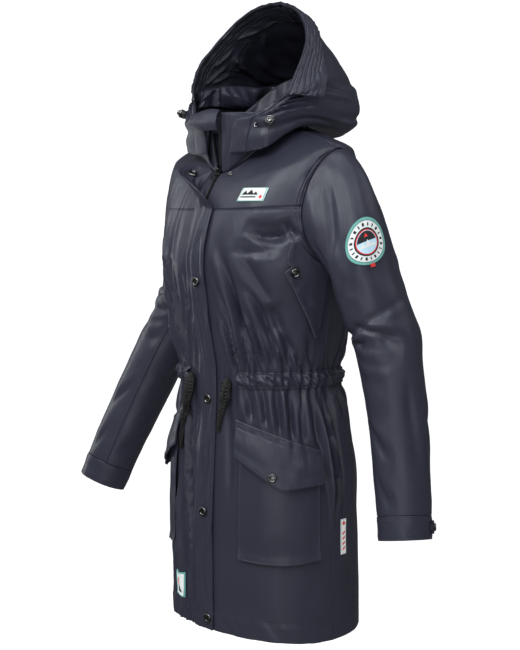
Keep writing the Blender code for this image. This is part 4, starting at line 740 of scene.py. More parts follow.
def read_along(rows, at):
    """The cubic along the second last axis of rows, read at the places in at, one for each of rows."""
    values = np.moveaxis(rows, -2, 0)
    slope = slopes(values)
    i = np.clip(np.floor(at).astype(int), 0, len(values) - 2)
    f = (at - i)[..., None]

    def pick(table, index):
        index = np.repeat(index[None, ..., None], 3, -1)
        return np.take_along_axis(table, index, 0)[0]

    return cubic(pick(values, i), pick(values, i + 1), pick(slope, i), pick(slope, i + 1), f)


def untilted(point, side):
    """Mirrors a hood point to the wearer's right, where the tilt lifts it instead of lowering it."""
    if side > 0:
        return point
    tilt = HOOD_TILT * smooth(0.0, 0.08, point[..., 2])
    lift = 2 * (tilt * point[..., 0])[..., None]
    return point * np.array([-1, 1, 1]) + np.array([0, 0, 1.0]) * lift


HOOD_CREASES = (
    # from_across, from_row, to_across, to_row, bow, width, depth, lip
    (1.90, 4.45, 0.35, 3.30, 0.004, 0.0065, 0.0050, 0.60),
    (1.60, 3.60, 0.30, 2.60, 0.003, 0.0060, 0.0044, 0.60),
    (1.90, 2.90, 0.55, 2.15, 0.003, 0.0065, 0.0040, 0.50),
    (2.90, 4.60, 1.60, 4.90, 0.004, 0.0090, 0.0046, 0.40),
    (3.40, 5.60, 2.10, 5.00, 0.004, 0.0110, 0.0034, 0.40),
    (1.60, 1.55, 0.30, 1.70, 0.003, 0.0065, 0.0040, 0.40),
    (2.60, 1.60, 1.10, 1.35, 0.003, 0.0070, 0.0034, 0.40),
    (3.60, 2.60, 2.40, 2.10, 0.003, 0.0090, 0.0036, 0.40),
    (3.80, 6.60, 2.60, 7.40, 0.003, 0.0110, 0.0030, 0.40),
)
HOOD_SCALE = (0.055, 0.034)  # metres to one across and to one row


def hood_cloth(across, row, side, detail=1.0):
    """Points and outward normals of the hood's left half, with the creases of the half on this side."""
    small = 1e-3
    ridge = len(HOOD)
    inside = np.clip(row, 0, ridge - 0.05)
    sideways = hood(across + small, inside) - hood(across - small, inside)
    upward = hood(across, inside + small) - hood(across, np.clip(inside - small, 0, None))
    point, normal = hood(across, row), unit(np.cross(sideways, upward))
    lift = creases(HOOD_CREASES, across, row, NO_TURN, HOOD_SCALE)
    seed = 51 if side > 0 else 55
    lift = lift + 0.0016 * noise(point / 0.050, seed) + 0.0006 * noise(point / 0.018, seed + 1)
    near_seam = smooth(0.0, 0.5, row) * (1 - smooth(9.5, 10.0, row)) * (1 - smooth(3.4, 4.0, across))
    return raised(point, normal, lift * near_seam * detail), normal


# ---- Camera, light and floor ----
AZIMUTH, EYE_DISTANCE, EYE_HEIGHT, PITCH = 48.0, 2.30, -0.149, 4.73
LENS, SENSOR = 73.0, 36.0  # millimetres
EYE_ASIDE = 0.0035  # how far the camera is moved to its left
FLOOR, FLOOR_REACH = -1.45, 12.0  # its height, and how far it goes to each side
SWEEP_NEAR, SWEEP_START, SWEEP_RADIUS, SWEEP_TOP = -9.0, 3.5, 1.5, 9.0  # how it curves up behind the coat


def placed(name, data):
    """A new object of the scene."""
    thing = bpy.data.objects.new(name, data)
    bpy.context.scene.collection.objects.link(thing)
    return thing


def settle(node, values):
    """Sets a shader node's inputs."""
    for name, value in values.items():
        node.inputs[name].default_value = value


def aim(thing, direction):
    thing.rotation_mode = "QUATERNION"
    thing.rotation_quaternion = direction.to_track_quat("-Z", "Y")


def make_camera():
    data = bpy.data.cameras.new("camera")
    data.lens, data.sensor_width = LENS, SENSOR
    data.clip_start, data.clip_end = 0.05, 50
    camera = placed("camera", data)
    turn, tip = math.radians(AZIMUTH), math.radians(PITCH)
    back = Vector((math.sin(turn) * math.cos(tip), -math.cos(turn) * math.cos(tip), math.sin(tip)))
    right = Vector((math.cos(turn), math.sin(turn), 0))
    eye = Vector((math.sin(turn) * EYE_DISTANCE, -math.cos(turn) * EYE_DISTANCE, EYE_HEIGHT))
    camera.location = eye - right * EYE_ASIDE
    aim(camera, -back)
    bpy.context.scene.camera = camera


LIGHTS = {
    # azimuth, height, distance, width, length, watts
    "left": (-45.0, 1.10, 2.2, 0.7, 1.6, 11.0),
    "edge": (-78.0, 0.10, 2.0, 0.3, 1.8, 8.0),
    "front": (0.0, 1.30, 2.2, 0.8, 1.2, 33.0),
    "fill": (35.0, 1.30, 2.2, 0.8, 1.2, 26.0),
    "key": (75.0, 1.30, 2.2, 0.8, 1.2, 17.0),
    "rim": (135.0, 1.30, 2.2, 1.0, 1.6, 8.0),
    "top": (60.0, 2.30, 0.6, 1.6, 1.6, 24.0),
    "low": (48.0, -0.60, 3.0, 1.6, 1.0, 12.0),
}
LIGHT_COLOUR = (0.93, 0.96, 1.0)
LIGHTS_MEET = -0.30  # the height at which all lamps look
WORLD = 0.07
GLOW_NEAR, GLOW_FAR = (-1.0, 0.22), (1.4, 0.60)  # the floor's own light: metres behind the coat, and strength


def make_lights():
    world = bpy.data.worlds.new("studio")
    world.use_nodes = True
    settle(world.node_tree.nodes["Background"], {"Color": (1, 1, 1, 1), "Strength": WORLD})
    bpy.context.scene.world = world
    bpy.context.scene.view_settings.view_transform = "Standard"
    for name, (azimuth, height, distance, width, length, watts) in LIGHTS.items():
        data = bpy.data.lights.new(name, "AREA")
        data.shape, data.size, data.size_y, data.energy = "RECTANGLE", width, length, watts
        data.color = LIGHT_COLOUR
        lamp = placed(name, data)
        turn = math.radians(azimuth)
        lamp.location = (math.sin(turn) * distance, -math.cos(turn) * distance, height)
        aim(lamp, Vector((0, 0, LIGHTS_MEET)) - lamp.location)


def light_floor(material, away):
    """The backdrop glows evenly, and less so towards the camera, like a lit studio sweep."""
    nodes, links = material.node_tree.nodes, material.node_tree.links
    place, along, glow = (nodes.new(f"ShaderNode{kind}") for kind in ("TexCoord", "VectorMath", "MapRange"))
    along.operation = "DOT_PRODUCT"
    along.inputs[1].default_value = (*away, 0)
    for end, (metres, strength) in (("Min", GLOW_NEAR), ("Max", GLOW_FAR)):
        settle(glow, {f"From {end}": metres, f"To {end}": strength})
    links.new(place.outputs["Object"], along.inputs[0])
    links.new(along.outputs["Value"], glow.inputs["Value"])
    shader = nodes["Principled BSDF"]
    shader.inputs["Emission Color"].default_value = (1, 1, 1, 1)
    links.new(glow.outputs["Result"], shader.inputs["Emission Strength"])


def make_floor():
    """A pale floor that sweeps up into a backdrop, behind the coat as the camera sees it."""
    turn = math.radians(AZIMUTH)
    away = np.array([-math.sin(turn), math.cos(turn)])
    right = np.array([math.cos(turn), math.sin(turn)])
    outline = [(SWEEP_NEAR, 0.0), (SWEEP_START, 0.0)]
    outline += [(SWEEP_START + SWEEP_RADIUS * math.sin(a), SWEEP_RADIUS - SWEEP_RADIUS * math.cos(a))
                for a in np.linspace(0.1, math.pi / 2, 12)]
    outline.append((SWEEP_START + SWEEP_RADIUS, SWEEP_TOP))
    points = [(*(away * deep + right * wide), FLOOR + high)
              for deep, high in outline for wide in (-FLOOR_REACH, FLOOR_REACH)]
    faces = [(2 * i, 2 * i + 1, 2 * i + 3, 2 * i + 2) for i in range(len(outline) - 1)]
    mesh = bpy.data.meshes.new("floor")
    mesh.from_pydata(points, [], faces)
    mesh.shade_smooth()
    light_floor(MADE["floor"], away)
    mesh.materials.append(MADE["floor"])
    floor = placed("floor", mesh)
    floor.visible_glossy = False  # the cloth's sheen comes from the lamps alone


# ---- Materials ----
MATERIALS = {
    # colour, second colour, roughness, metallic, sheen, grain (metres, 0 for none), relief
    "shell": ((0.0228, 0.0236, 0.0365), (0.0282, 0.0292, 0.0440), 0.38, 0.0, 0.00, 0.00045, 0.10),
    "inside": ((0.0100, 0.0104, 0.0150), (0.0130, 0.0135, 0.0190), 0.55, 0.0, 0.05, 0.00045, 0.10),
    "facing": ((0.0130, 0.0136, 0.0210), (0.0170, 0.0178, 0.0270), 0.50, 0.0, 0.00, 0.00045, 0.12),
    "lining": ((0.0050, 0.0052, 0.0085), (0.0070, 0.0073, 0.0115), 0.55, 0.0, 0.00, 0.00060, 0.15),
    "thread": ((0.0300, 0.0310, 0.0420), (0.0380, 0.0390, 0.0520), 0.60, 0.0, 0.10, 0.00030, 0.20),
    "piping": ((0.0420, 0.0435, 0.0580), (0.0520, 0.0540, 0.0700), 0.34, 0.0, 0.00, 0.00030, 0.10),
    "zip": ((0.0090, 0.0090, 0.0100), (0.0130, 0.0130, 0.0150), 0.50, 0.0, 0.00, 0.00050, 0.15),
    "teeth": ((0.0300, 0.0300, 0.0320), (0.0420, 0.0420, 0.0440), 0.30, 0.6, 0.00, 0.00080, 0.05),
    "metal": ((0.0900, 0.0900, 0.0900), (0.2000, 0.1960, 0.1880), 0.20, 1.0, 0.00, 0.00070, 0.05),
    "steel": ((0.3600, 0.3600, 0.3700), (0.4600, 0.4600, 0.4700), 0.24, 1.0, 0.00, 0.00070, 0.05),
    "toggle": ((0.0120, 0.0120, 0.0130), (0.0180, 0.0180, 0.0200), 0.18, 0.2, 0.00, 0.00120, 0.03),
    "elastic": ((0.0045, 0.0043, 0.0043), (0.0200, 0.0190, 0.0180), 0.50, 0.0, 0.00, 0.00090, 0.80),
    "white": ((0.6500, 0.6800, 0.6600), (0.7300, 0.7500, 0.7300), 0.85, 0.0, 0.05, 0.00050, 0.30),
    "teal": ((0.1100, 0.3300, 0.2900), (0.1500, 0.3900, 0.3400), 0.85, 0.0, 0.05, 0.00050, 0.30),
    "red": ((0.6200, 0.0280, 0.0260), (0.7000, 0.0450, 0.0400), 0.85, 0.0, 0.05, 0.00050, 0.30),
    "sky": ((0.4200, 0.6200, 0.7400), (0.5000, 0.7000, 0.8000), 0.85, 0.0, 0.05, 0.00050, 0.30),
    "ink": ((0.0120, 0.0120, 0.0150), (0.0220, 0.0220, 0.0260), 0.85, 0.0, 0.05, 0.00050, 0.30),
    "floor": ((0.9000, 0.9000, 0.9000), (0.9100, 0.9100, 0.9100), 0.90, 0.0, 0.00, 0.00000, 0.00),
}
SPECULAR = {"lining": 0.08, "facing": 0.20}
USUAL_SPECULAR, SHEEN_ROUGHNESS = 0.32, 0.45
MOTTLE, CLOUD = 0.006, 0.070  # sizes of the cloth's finer and broader unevenness
STREAK = 0.25  # how much the finer unevenness is drawn out along the height


def make_material(name, colour, second, roughness, metallic, sheen, grain, relief):
    material = bpy.data.materials.new(name)
    material.use_nodes = True
    nodes, links = material.node_tree.nodes, material.node_tree.links
    shader = nodes["Principled BSDF"]
    settle(shader, {"Metallic": metallic, "Sheen Weight": sheen, "Sheen Roughness": SHEEN_ROUGHNESS,
                    "Roughness": roughness, "Specular IOR Level": SPECULAR.get(name, USUAL_SPECULAR)})
    place = nodes.new("ShaderNodeTexCoord")

    upright = nodes.new("ShaderNodeMapping")
    settle(upright, {"Scale": (1.0, 1.0, STREAK)})
    links.new(place.outputs["Object"], upright.inputs["Vector"])

    def lumps(size, detail, vector=place.outputs["Object"]):
        made = nodes.new("ShaderNodeTexNoise")
        settle(made, {"Scale": 1 / size, "Detail": detail})
        links.new(vector, made.inputs["Vector"])
        return made.outputs["Fac"]

    blend = nodes.new("ShaderNodeMix")
    blend.data_type = "RGBA"
    settle(blend, {"A": (*colour, 1), "B": (*second, 1)})
    links.new(lumps(CLOUD, 3.0), blend.inputs["Factor"])
    links.new(blend.outputs["Result"], shader.inputs["Base Color"])
    if grain:
        fine, broad = nodes.new("ShaderNodeBump"), nodes.new("ShaderNodeBump")
        settle(fine, {"Strength": relief, "Distance": grain * 0.6})
        links.new(lumps(grain, 1.0), fine.inputs["Height"])
        settle(broad, {"Strength": 0.30, "Distance": 0.0012})
        links.new(lumps(MOTTLE, 3.0, upright.outputs["Vector"]), broad.inputs["Height"])
        links.new(fine.outputs["Normal"], broad.inputs["Normal"])
        links.new(broad.outputs["Normal"], shader.inputs["Normal"])
    return material


# ---- Making meshes ----
EDGE = (0.0, 0.0005, 0.0013, 0.0026)  # where a grid is finer beside a cloth's edge
STITCHED = (0.0, 0.0005, 0.0012, 0.0018, 0.0025, 0.0032, 0.0045, 0.0062, 0.0076, 0.0085, 0.0094, 0.0110)
ROLL, SEAM_ROLL = 0.0006, 0.0012  # how far a free edge rounds off, and how far a seam dips


def spaced(length, step, edge=EDGE):
    """Places from 0 to 1 along a line of this length, closer together at both of its ends."""
    middle = np.linspace(edge[-1], length - edge[-1], max(3, round((length - 2 * edge[-1]) / step) + 1))
    return np.concatenate([edge[:-1], middle, length - np.array(edge[-2::-1])]) / length


def spaced_rows(place, column, low, high, step):
    """Rows from low to high that are spaced along one column of the surface that place(column, row) gives."""
    fine = np.linspace(low, high, 400)
    length = run_of(place(np.full_like(fine, column), fine))
    return np.interp(spaced(length[-1], step) * length[-1], length, fine)


def grid_of(columns, rows):
    """Two grids that pair every column with every row."""
    return np.meshgrid(np.asarray(columns, float), np.asarray(rows, float))


def edge_distances(points):
    """How far each point of a grid is from its four edges, and how far along them, in metres."""
    across = np.concatenate([np.zeros((len(points), 1)), np.linalg.norm(np.diff(points, axis=1), axis=-1)], 1)
    up = np.concatenate([np.zeros((1, points.shape[1])), np.linalg.norm(np.diff(points, axis=0), axis=-1)], 0)
    across, up = across.cumsum(1), up.cumsum(0)
    return {"left": (across, up), "right": (across[:, -1:] - across, up),
            "low": (up, across), "high": (up[-1:] - up, across)}


def sewn(distances, lines, seed=0, pucker=0.00050, groove=0.00075):
    """The lift beside lines of stitching: each is an edge's name and the distance from it."""
    total = np.zeros(distances["low"][0].shape)
    for number, (edge, at) in enumerate(lines):
        off, along = distances[edge]
        ripple = ripples(seed + 60, along / 0.0085, np.full(along.shape, 3.7 * number))
        total -= groove * bump(off - at, 0.0009)
        total += pucker * ripple * bump(off - at, 0.0050)
    return total


EDGES = ("left", "right", "low", "high")


def rolled(distances, edges=EDGES, amount=ROLL):
    total = np.zeros(distances["low"][0].shape)
    for edge in edges:
        total -= amount * bump(distances[edge][0], 0.0009)
    return total


STITCHES = []  # for each line: its grains' middles, and the directions along it and out of the cloth
GRAIN = (0.00115, 0.00034, 0.00036, 0.0004)  # half a grain's length and width, its height and its depth
STITCH_PITCH, STITCH_END = 0.0032, 0.003  # from grain to grain, and left free at a line's ends


def stitch(points, normals, distances, lines, step=STITCH_PITCH, part=(0.0, 1.0)):
    """Lays thread grains along lines of stitching on a finished grid."""
    for edge, at in lines:
        off = distances[edge][0]
        flat, turned_normals = points, normals
        if edge in ("left", "right"):
            off, flat, turned_normals = off.T, points.swapaxes(0, 1), normals.swapaxes(0, 1)
        if off[0, 0] > off[-1, 0]:
            off, flat, turned_normals = off[::-1], flat[::-1], turned_normals[::-1]
        i = np.clip([np.searchsorted(column, at) - 1 for column in off.T], 0, len(off) - 2)
        j = np.arange(off.shape[1])
        share = ((at - off[i, j]) / np.maximum(off[i + 1, j] - off[i, j], 1e-9))[:, None]
        line = flat[i, j] * (1 - share) + flat[i + 1, j] * share
        facing = turned_normals[i, j]
        length = run_of(line)
        places = np.arange(part[0] * length[-1] + STITCH_END, part[1] * length[-1] - STITCH_END, step)
        if len(places) < 2:
            continue
        STITCHES.append(walk(line, facing, length, places, 0.001))


def make_stitching():
    points, faces = [], []
    long, wide, high, deep = GRAIN
    pattern = np.array([(1, 2, 4), (2, 3, 4), (3, 0, 4), (0, 1, 4), (2, 1, 5), (3, 2, 5), (0, 3, 5), (1, 0, 5)])
    start = 0
    for middle, along, up in STITCHES:
        aside = np.cross(up, along)
        corners = [along * long, aside * wide, -along * long, -aside * wide, up * high, -up * deep]
        grains = middle[:, None] + np.stack(corners, 1)
        points.append(grains.reshape(-1, 3))
        faces.append((start + 6 * np.arange(len(middle))[:, None, None] + pattern).reshape(-1, 3))
        start += 6 * len(middle)
    return make_piece("stitching", np.concatenate(points), np.concatenate(faces), "thread", slot="shell")


def make_piece(name, points, faces, material, nodes=(), slot=None, body="coat", kinds=None, angle=50):
    """An object from points and faces.  kinds names each face's material, if it has several."""
    mesh = bpy.data.meshes.new(name)
    mesh.from_pydata(np.asarray(points).tolist(), [], [list(map(int, face)) for face in faces])
    names = [material] if kinds is None else sorted(set(kinds))
    for one in names:
        mesh.materials.append(MADE[one])
    if kinds is not None:
        mesh.polygons.foreach_set("material_index", [names.index(kind) for kind in kinds])
    mesh.shade_smooth()
    mesh.set_sharp_from_angle(angle=math.radians(angle))
    thing = placed(name, mesh)
    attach(thing, body)
    if nodes:
        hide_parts(*nodes)
    return thing


def grid_faces(rows, columns, start=0, wrap=False, flip=False):
    i, j = np.meshgrid(np.arange(rows - 1), np.arange(columns if wrap else columns - 1), indexing="ij")
    a, b = start + i * columns + j, start + i * columns + (j + 1) % columns
    made = np.stack([a, b, b + columns, a + columns], -1).reshape(-1, 4)
    return made[:, ::-1] if flip else made


def make_wall(name, outer, inner, material="shell", wrap=False, inside=None, slot="shell", held="hung",
              rests_on=()):
    """A closed thin wall between two grids, with rows and columns counter-clockwise seen from outside."""
    rows, columns = outer.shape[:2]
    count = rows * columns
    faces = [grid_faces(rows, columns, 0, wrap), grid_faces(rows, columns, count, wrap, True)]
    loops = [np.arange(columns), (rows - 1) * columns + np.arange(columns)[::-1]]
    if wrap:
        loops = [np.append(loop, loop[0]) for loop in loops]
    else:
        loops += [np.arange(rows) * columns + columns - 1, (np.arange(rows) * columns)[::-1]]
    for loop in loops:
        a, b = loop[:-1], loop[1:]
        faces.append(np.stack([b, a, a + count, b + count], -1))
    kinds = None
    if inside is not None:
        kinds = [material] * len(faces[0])
        kinds += [inside] * len(faces[1]) if isinstance(inside, str) else inside.ravel().tolist()
        kinds += [material] * sum(len(face) for face in faces[2:])
    points = np.concatenate([outer.reshape(-1, 3), inner.reshape(-1, 3)])
    piece = make_piece(name, points, np.concatenate(faces), material, (name,), slot, kinds=kinds)
    if held:
        declare(np.concatenate([outer, outer[:, :1]], 1) if wrap else outer)
    return piece


def make_cloth(name, points, normals, low, high, lines=(), lift=0.0, wrap=False, seed=0, edges=EDGES, **more):
    """A cloth wall: low and high are its faces above points, lines its stitching, lift its own creases, and
    edges the ones that no seam holds."""
    distances = edge_distances(points)
    seams = [edge for edge in EDGES if edge not in edges and not (wrap and edge in ("left", "right"))]
    free = rolled(distances, [edge for edge in edges if not (wrap and edge in ("left", "right"))])
    lift = lift + rolled(distances, seams, SEAM_ROLL)
    top = raised(points, normals, high + sewn(distances, lines, seed) + free + lift)
    under = raised(points, normals, low - free + lift)
    stitch(top, normals, distances, lines)
    return make_wall(name, top, under, wrap=wrap, **more)


def lengths(grid):
    """The lengths of a grid's rows."""
    return np.linalg.norm(np.diff(grid, axis=1), axis=-1).sum(1)


def declare(grid):
    """Works out a cloth piece's greatest width and length, along its creases, and keeps neither."""
    width, length = round(float(lengths(grid).max()), 3), round(float(lengths(grid.swapaxes(0, 1)).max()), 3)


def lathe(profile, place, axis, steps):
    """Points and faces of a turned piece; profile is (radius, height) from its top down to its foot."""
    axis = unit(np.asarray(axis, float))
    aside = unit(np.cross(axis, [0.3, 0.2, 0.9]))
    other = np.cross(axis, aside)
    angle = turns(steps)
    ring_of = np.cos(angle)[:, None] * aside + np.sin(angle)[:, None] * other
    points = np.concatenate([place + ring_of * radius + axis * height for radius, height in profile])
    return points, grid_faces(len(profile), steps, 0, True, True).tolist()


def gathered(pieces):
    """Several (points, faces) as one."""
    points, faces, start = [], [], 0
    for some, theirs in pieces:
        points.append(np.asarray(some))
        faces += [[start + corner for corner in face] for face in theirs]
        start += len(some)
    return np.concatenate(points), faces


def tube(line, radii, steps, shape=None):
    """Points and faces of a tube along a line, closed at its ends; shape(i, angles) scales its rings."""
    line = np.asarray(line, float)
    radii = np.broadcast_to(np.asarray(radii, float), (len(line),))
    along = unit(np.gradient(line, axis=0))
    aside = np.cross(along[0], [0.31, -0.64, 0.71])
    frames = []
    for direction in along:
        aside = unit(aside - direction * np.dot(aside, direction))
        frames.append((aside, np.cross(direction, aside)))
    angle = turns(steps)
    rings = []
    for i, (first, second) in enumerate(frames):
        radius = radii[i] * (np.ones(steps) if shape is None else shape(i, angle))
        rings.append(line[i] + (np.cos(angle) * radius)[:, None] * first
                     + (np.sin(angle) * radius)[:, None] * second)
    rings = [np.repeat(line[:1], steps, 0), *rings, np.repeat(line[-1:], steps, 0)]
    return np.concatenate(rings), grid_faces(len(rings), steps, 0, True).tolist()


def box(size, matrix, bevel=0.0):
    """Points and faces of a box with bevelled edges, placed by a matrix."""
    shape = bmesh.new()
    bmesh.ops.create_cube(shape, size=1)
    bmesh.ops.scale(shape, vec=size, verts=shape.verts)
    if bevel:
        bmesh.ops.bevel(shape, geom=shape.edges[:], offset=bevel, segments=2, affect="EDGES", profile=0.6)
    shape.transform(matrix)
    shape.verts.index_update()
    points = np.array([vert.co[:] for vert in shape.verts])
    faces = [[vert.index for vert in face.verts] for face in shape.faces]
    shape.free()
    return points, faces


# ---- Fronts, yokes, back and waist casing ----
HEM_TURN = 0.032  # the hem's stitching, above its edge
NEAR_SEAM, SECOND_LINE = 0.0025, 0.0085  # topstitching beside a seam
YOKE_SEAM = 0.0005  # half the gap between the panels and the yokes, in rows


def make_panels():
    lower = spaced_rows(body, 0.12, 0, YOKE_ROW - YOKE_SEAM, 0.0041)
    upper = spaced_rows(body, 0.12, YOKE_ROW + YOKE_SEAM, NECK_ROW, 0.0030)
    for label, side in SIDES:
        seam = "right" if side > 0 else "left"
        columns, rows = grid_of(spaced(0.245, 0.0022, STITCHED) * FRONT_COLUMNS, lower)
        points, normals = body_cloth(front_around(columns, rows, side), rows)
        columns, upper_rows = grid_of(spaced(0.200, 0.0026, STITCHED) * FRONT_COLUMNS, upper)
        yoke, yoke_normals = body_cloth(front_around(columns, upper_rows, side), upper_rows)
        points, normals, yoke, yoke_normals = (mirrored(side, x) for x in (points, normals, yoke, yoke_normals))
        hem = edge_distances(points)["low"]
        slant = ripples(71, (hem[1] + 0.7 * hem[0]) / 0.011, hem[0] / 0.03)
        turn = -0.0010 * bump(hem[0] - HEM_TURN, 0.0014)
        turn += 0.0011 * slant * (1 - smooth(HEM_TURN - 0.004, HEM_TURN + 0.006, hem[0]))
        turn += 0.0006 * (1 - smooth(HEM_TURN - 0.001, HEM_TURN + 0.001, hem[0]))
        distances, armhole_lines = edge_distances(points), [(seam, NEAR_SEAM), (seam, SECOND_LINE)]
        above = smooth(ARMPIT_ROW, ARMPIT_ROW + 0.2, mirrored(side, rows))
        turn = turn + above * sewn(distances, armhole_lines, 73, 0.0016, 0.0008)
        make_cloth(f"front_{label}", points, normals, -CLOTH, 0, [("high", NEAR_SEAM)], turn, inside="inside",
                   seed=1, edges=("low",))
        up = distances[seam][1][:, 0 if side < 0 else -1]
        start = float(np.interp(ARMPIT_ROW, lower, up) / up[-1])
        stitch(points, normals, distances, [("low", HEM_TURN)])
        stitch(points, normals, distances, armhole_lines, part=(start, 1.0))
        pucker = sewn(edge_distances(yoke), armhole_lines, 75, 0.0020, 0.0004)
        make_cloth(f"yoke_{label}", yoke, yoke_normals, -CLOTH, 0, armhole_lines, pucker, inside="inside",
                   seed=3, edges=())


def make_back():
    rows = spaced_rows(body, 0.5, 0, NECK_ROW, 0.0052)
    columns, rows = grid_of(spaced(0.480, 0.0039) * 2 * FRONT_COLUMNS, rows)
    points, normals = body_cloth(back_around(columns, rows), rows)
    distances = edge_distances(points)
    hem = distances["low"]
    turn = -0.0005 * bump(hem[0] - HEM_TURN, 0.0014)
    make_cloth("back", points, normals, -CLOTH, 0, (), turn, inside="inside", seed=5, edges=("low",))
    stitch(points, normals, distances, [("low", HEM_TURN)])


CASING_STITCH = 0.0035  # the casing's stitching, from its edges


def make_casing():
    """The waist casing, round the back from one end of the drawstring to the other, puffed between seams."""
    low, high = (float(rows_at(height)) for height in (CASING_LOW, CASING_HIGH))
    rows = mix(low, high, spaced(CASING_HIGH - CASING_LOW, 0.0016, (0.0, 0.0006, 0.0014)))
    starts = [float(front_around(CASING_STARTS[label], low, 1)) for label in ("left", "right")]
    around, rows = grid_of(starts[0] + (1 - starts[0] - starts[1]) * spaced(0.80, 0.0019), rows)
    points, normals = body_cloth(around, rows)
    distances = edge_distances(points)
    up, along = distances["low"]
    share = np.clip(up / up[-1:], 0, 1)
    first = ripples(81, (along + 0.90 * up) / 0.0074 + 0.8 * ripples(84, along / 0.03, share * 2), share * 1.3)
    second = ripples(82, (along + 0.45 * up) / 0.0038, share * 2.2)
    between = np.sin(math.pi * np.clip((share - 0.12) / 0.76, 0, 1)) ** 0.6
    lift = between * (0.0038 + 0.0058 * first + 0.0020 * second) + (1 - between) * 0.0012 * (1 + first)
    lines = lines_at(CASING_STITCH, "low", "high")
    make_cloth("waist_casing", points, normals, LAY_GAP, LAY_GAP + CLOTH, lines, np.maximum(lift, -0.0003),
               seed=7, held="gathered", rests_on=("front_left", "front_right", "back"))


# ---- Sleeves, cuffs and their straps ----
SLEEVES = (("left", LEFT_SLEEVE, 1), ("right", RIGHT_SLEEVE, -1))
SLEEVE_END, CUFF_START = 5.6405, 5.6410  # rows either side of the cuff's seam
SLEEVE_GAP = 0.02  # degrees, beside the lengthwise seams
MEASURED_TURN = 20.0  # degrees round the sleeve where its rows are spaced out
CUFF_STAND = 0.0007
CUFF_TAB_REACH = (0.22, 0.78)  # from and to, across the cuff
CUFF_TAB_POINT, CUFF_SNAP_BACK = 14, 22.5  # degrees back from the strap's end


def make_sleeves():
    for label, table, side in SLEEVES:
        arm = partial(sleeve, table)
        rows = spaced_rows(arm, MEASURED_TURN, 0.0, SLEEVE_END, 0.0042)
        parts = ("top", BACK_SEAM - 360, FRONT_SEAM, 0.250), ("under", FRONT_SEAM, BACK_SEAM, 0.085)
        for part, low, high, length in parts:
            turns_round = mix(low + SLEEVE_GAP, high - SLEEVE_GAP, spaced(length, 0.0033))
            columns, grid_rows = grid_of(turns_round, rows)
            make_cloth(f"sleeve_{label}_{part}", *sleeve_grid(table, side, columns, grid_rows), -CLOTH, 0,
                       inside="inside", seed=9, edges=())
        rows = spaced_rows(arm, MEASURED_TURN, CUFF_START, CUFF_ROWS[1], 0.0026)
        columns, grid_rows = grid_of(np.linspace(0, 360, 110, endpoint=False), rows)
        points, normals = sleeve_grid(table, side, columns, grid_rows)
        slack = 0.0009 * noise(points / 0.016, 95)
        make_cloth(f"cuff_{label}", points, normals, CUFF_STAND - DOUBLE_CLOTH, CUFF_STAND,
                   lines_at(NEAR_SEAM, "low", "high"), slack, wrap=True, inside="inside", seed=11)
        make_cuff_tab(label, table, side)


def make_cuff_tab(label, table, side):
    """The strap on the back of the cuff: its free end is pointed and carries the snap."""
    start, end = CUFF_TABS[label]
    low, high = mix(*CUFF_ROWS, np.array(CUFF_TAB_REACH))
    columns, rows = grid_of(mix(start, end, spaced(0.092, 0.0024)), mix(low, high, spaced(0.024, 0.0022)))
    near_end = smooth(end - CUFF_TAB_POINT, end, columns)
    middle = (low + high) / 2
    rows = middle + (rows - middle) * (1 - 0.45 * near_end)
    points, normals = sleeve_grid(table, side, columns, rows)
    stand = CUFF_STAND + LAY_GAP
    lines = lines_at(NEAR_SEAM, "low", "high", "left", "right")
    make_cloth(f"cuff_tab_{label}", points, normals, stand, stand + DOUBLE_CLOTH, lines, seed=13, held="laid",
               rests_on=(f"cuff_{label}",))
    place, normal = sleeve_cloth(table, side, np.array([[end - CUFF_SNAP_BACK]]), np.array([[middle]]))
    SNAPS.append((place[0, 0] + normal[0, 0] * (stand + DOUBLE_CLOTH), normal[0, 0], CUFF_SNAP_RADIUS,
                  f"cuff_snap_{label}"))


# ---- Hood, brim, lining and drawcord channel ----
def hood_wall(name, across, rows, low, high, side, lines=(), lift=0.0, detail=1.0, inner=(), **more):
    points, normals = hood_cloth(across, rows, side, detail)
    distances = edge_distances(points)
    change = sewn(distances, lines, 17) + lift
    top = raised(points, normals, high + change + rolled(distances))
    under = raised(points, normals, low + change - rolled(distances))
    for grid in (top, under):
        grid[..., 0] = np.maximum(grid[..., 0], SEAM_GAP / 4)
    top, under, tips = untilted(top, side), untilted(under, side), untilted(points + normals * 0.01, side)
    if side < 0:
        top, under, tips = (mirrored(side, grid) for grid in (top, under, tips))
        lines, inner = flipped_edges(lines, side), flipped_edges(inner, side)
        if "inside" in more and not isinstance(more["inside"], str):
            more["inside"] = mirrored(side, more["inside"])
    stitch(top, unit(tips - top), edge_distances(top), lines)
    stitch(under, unit(under - tips), edge_distances(under), inner)
    return make_wall(name, top, under, **more)


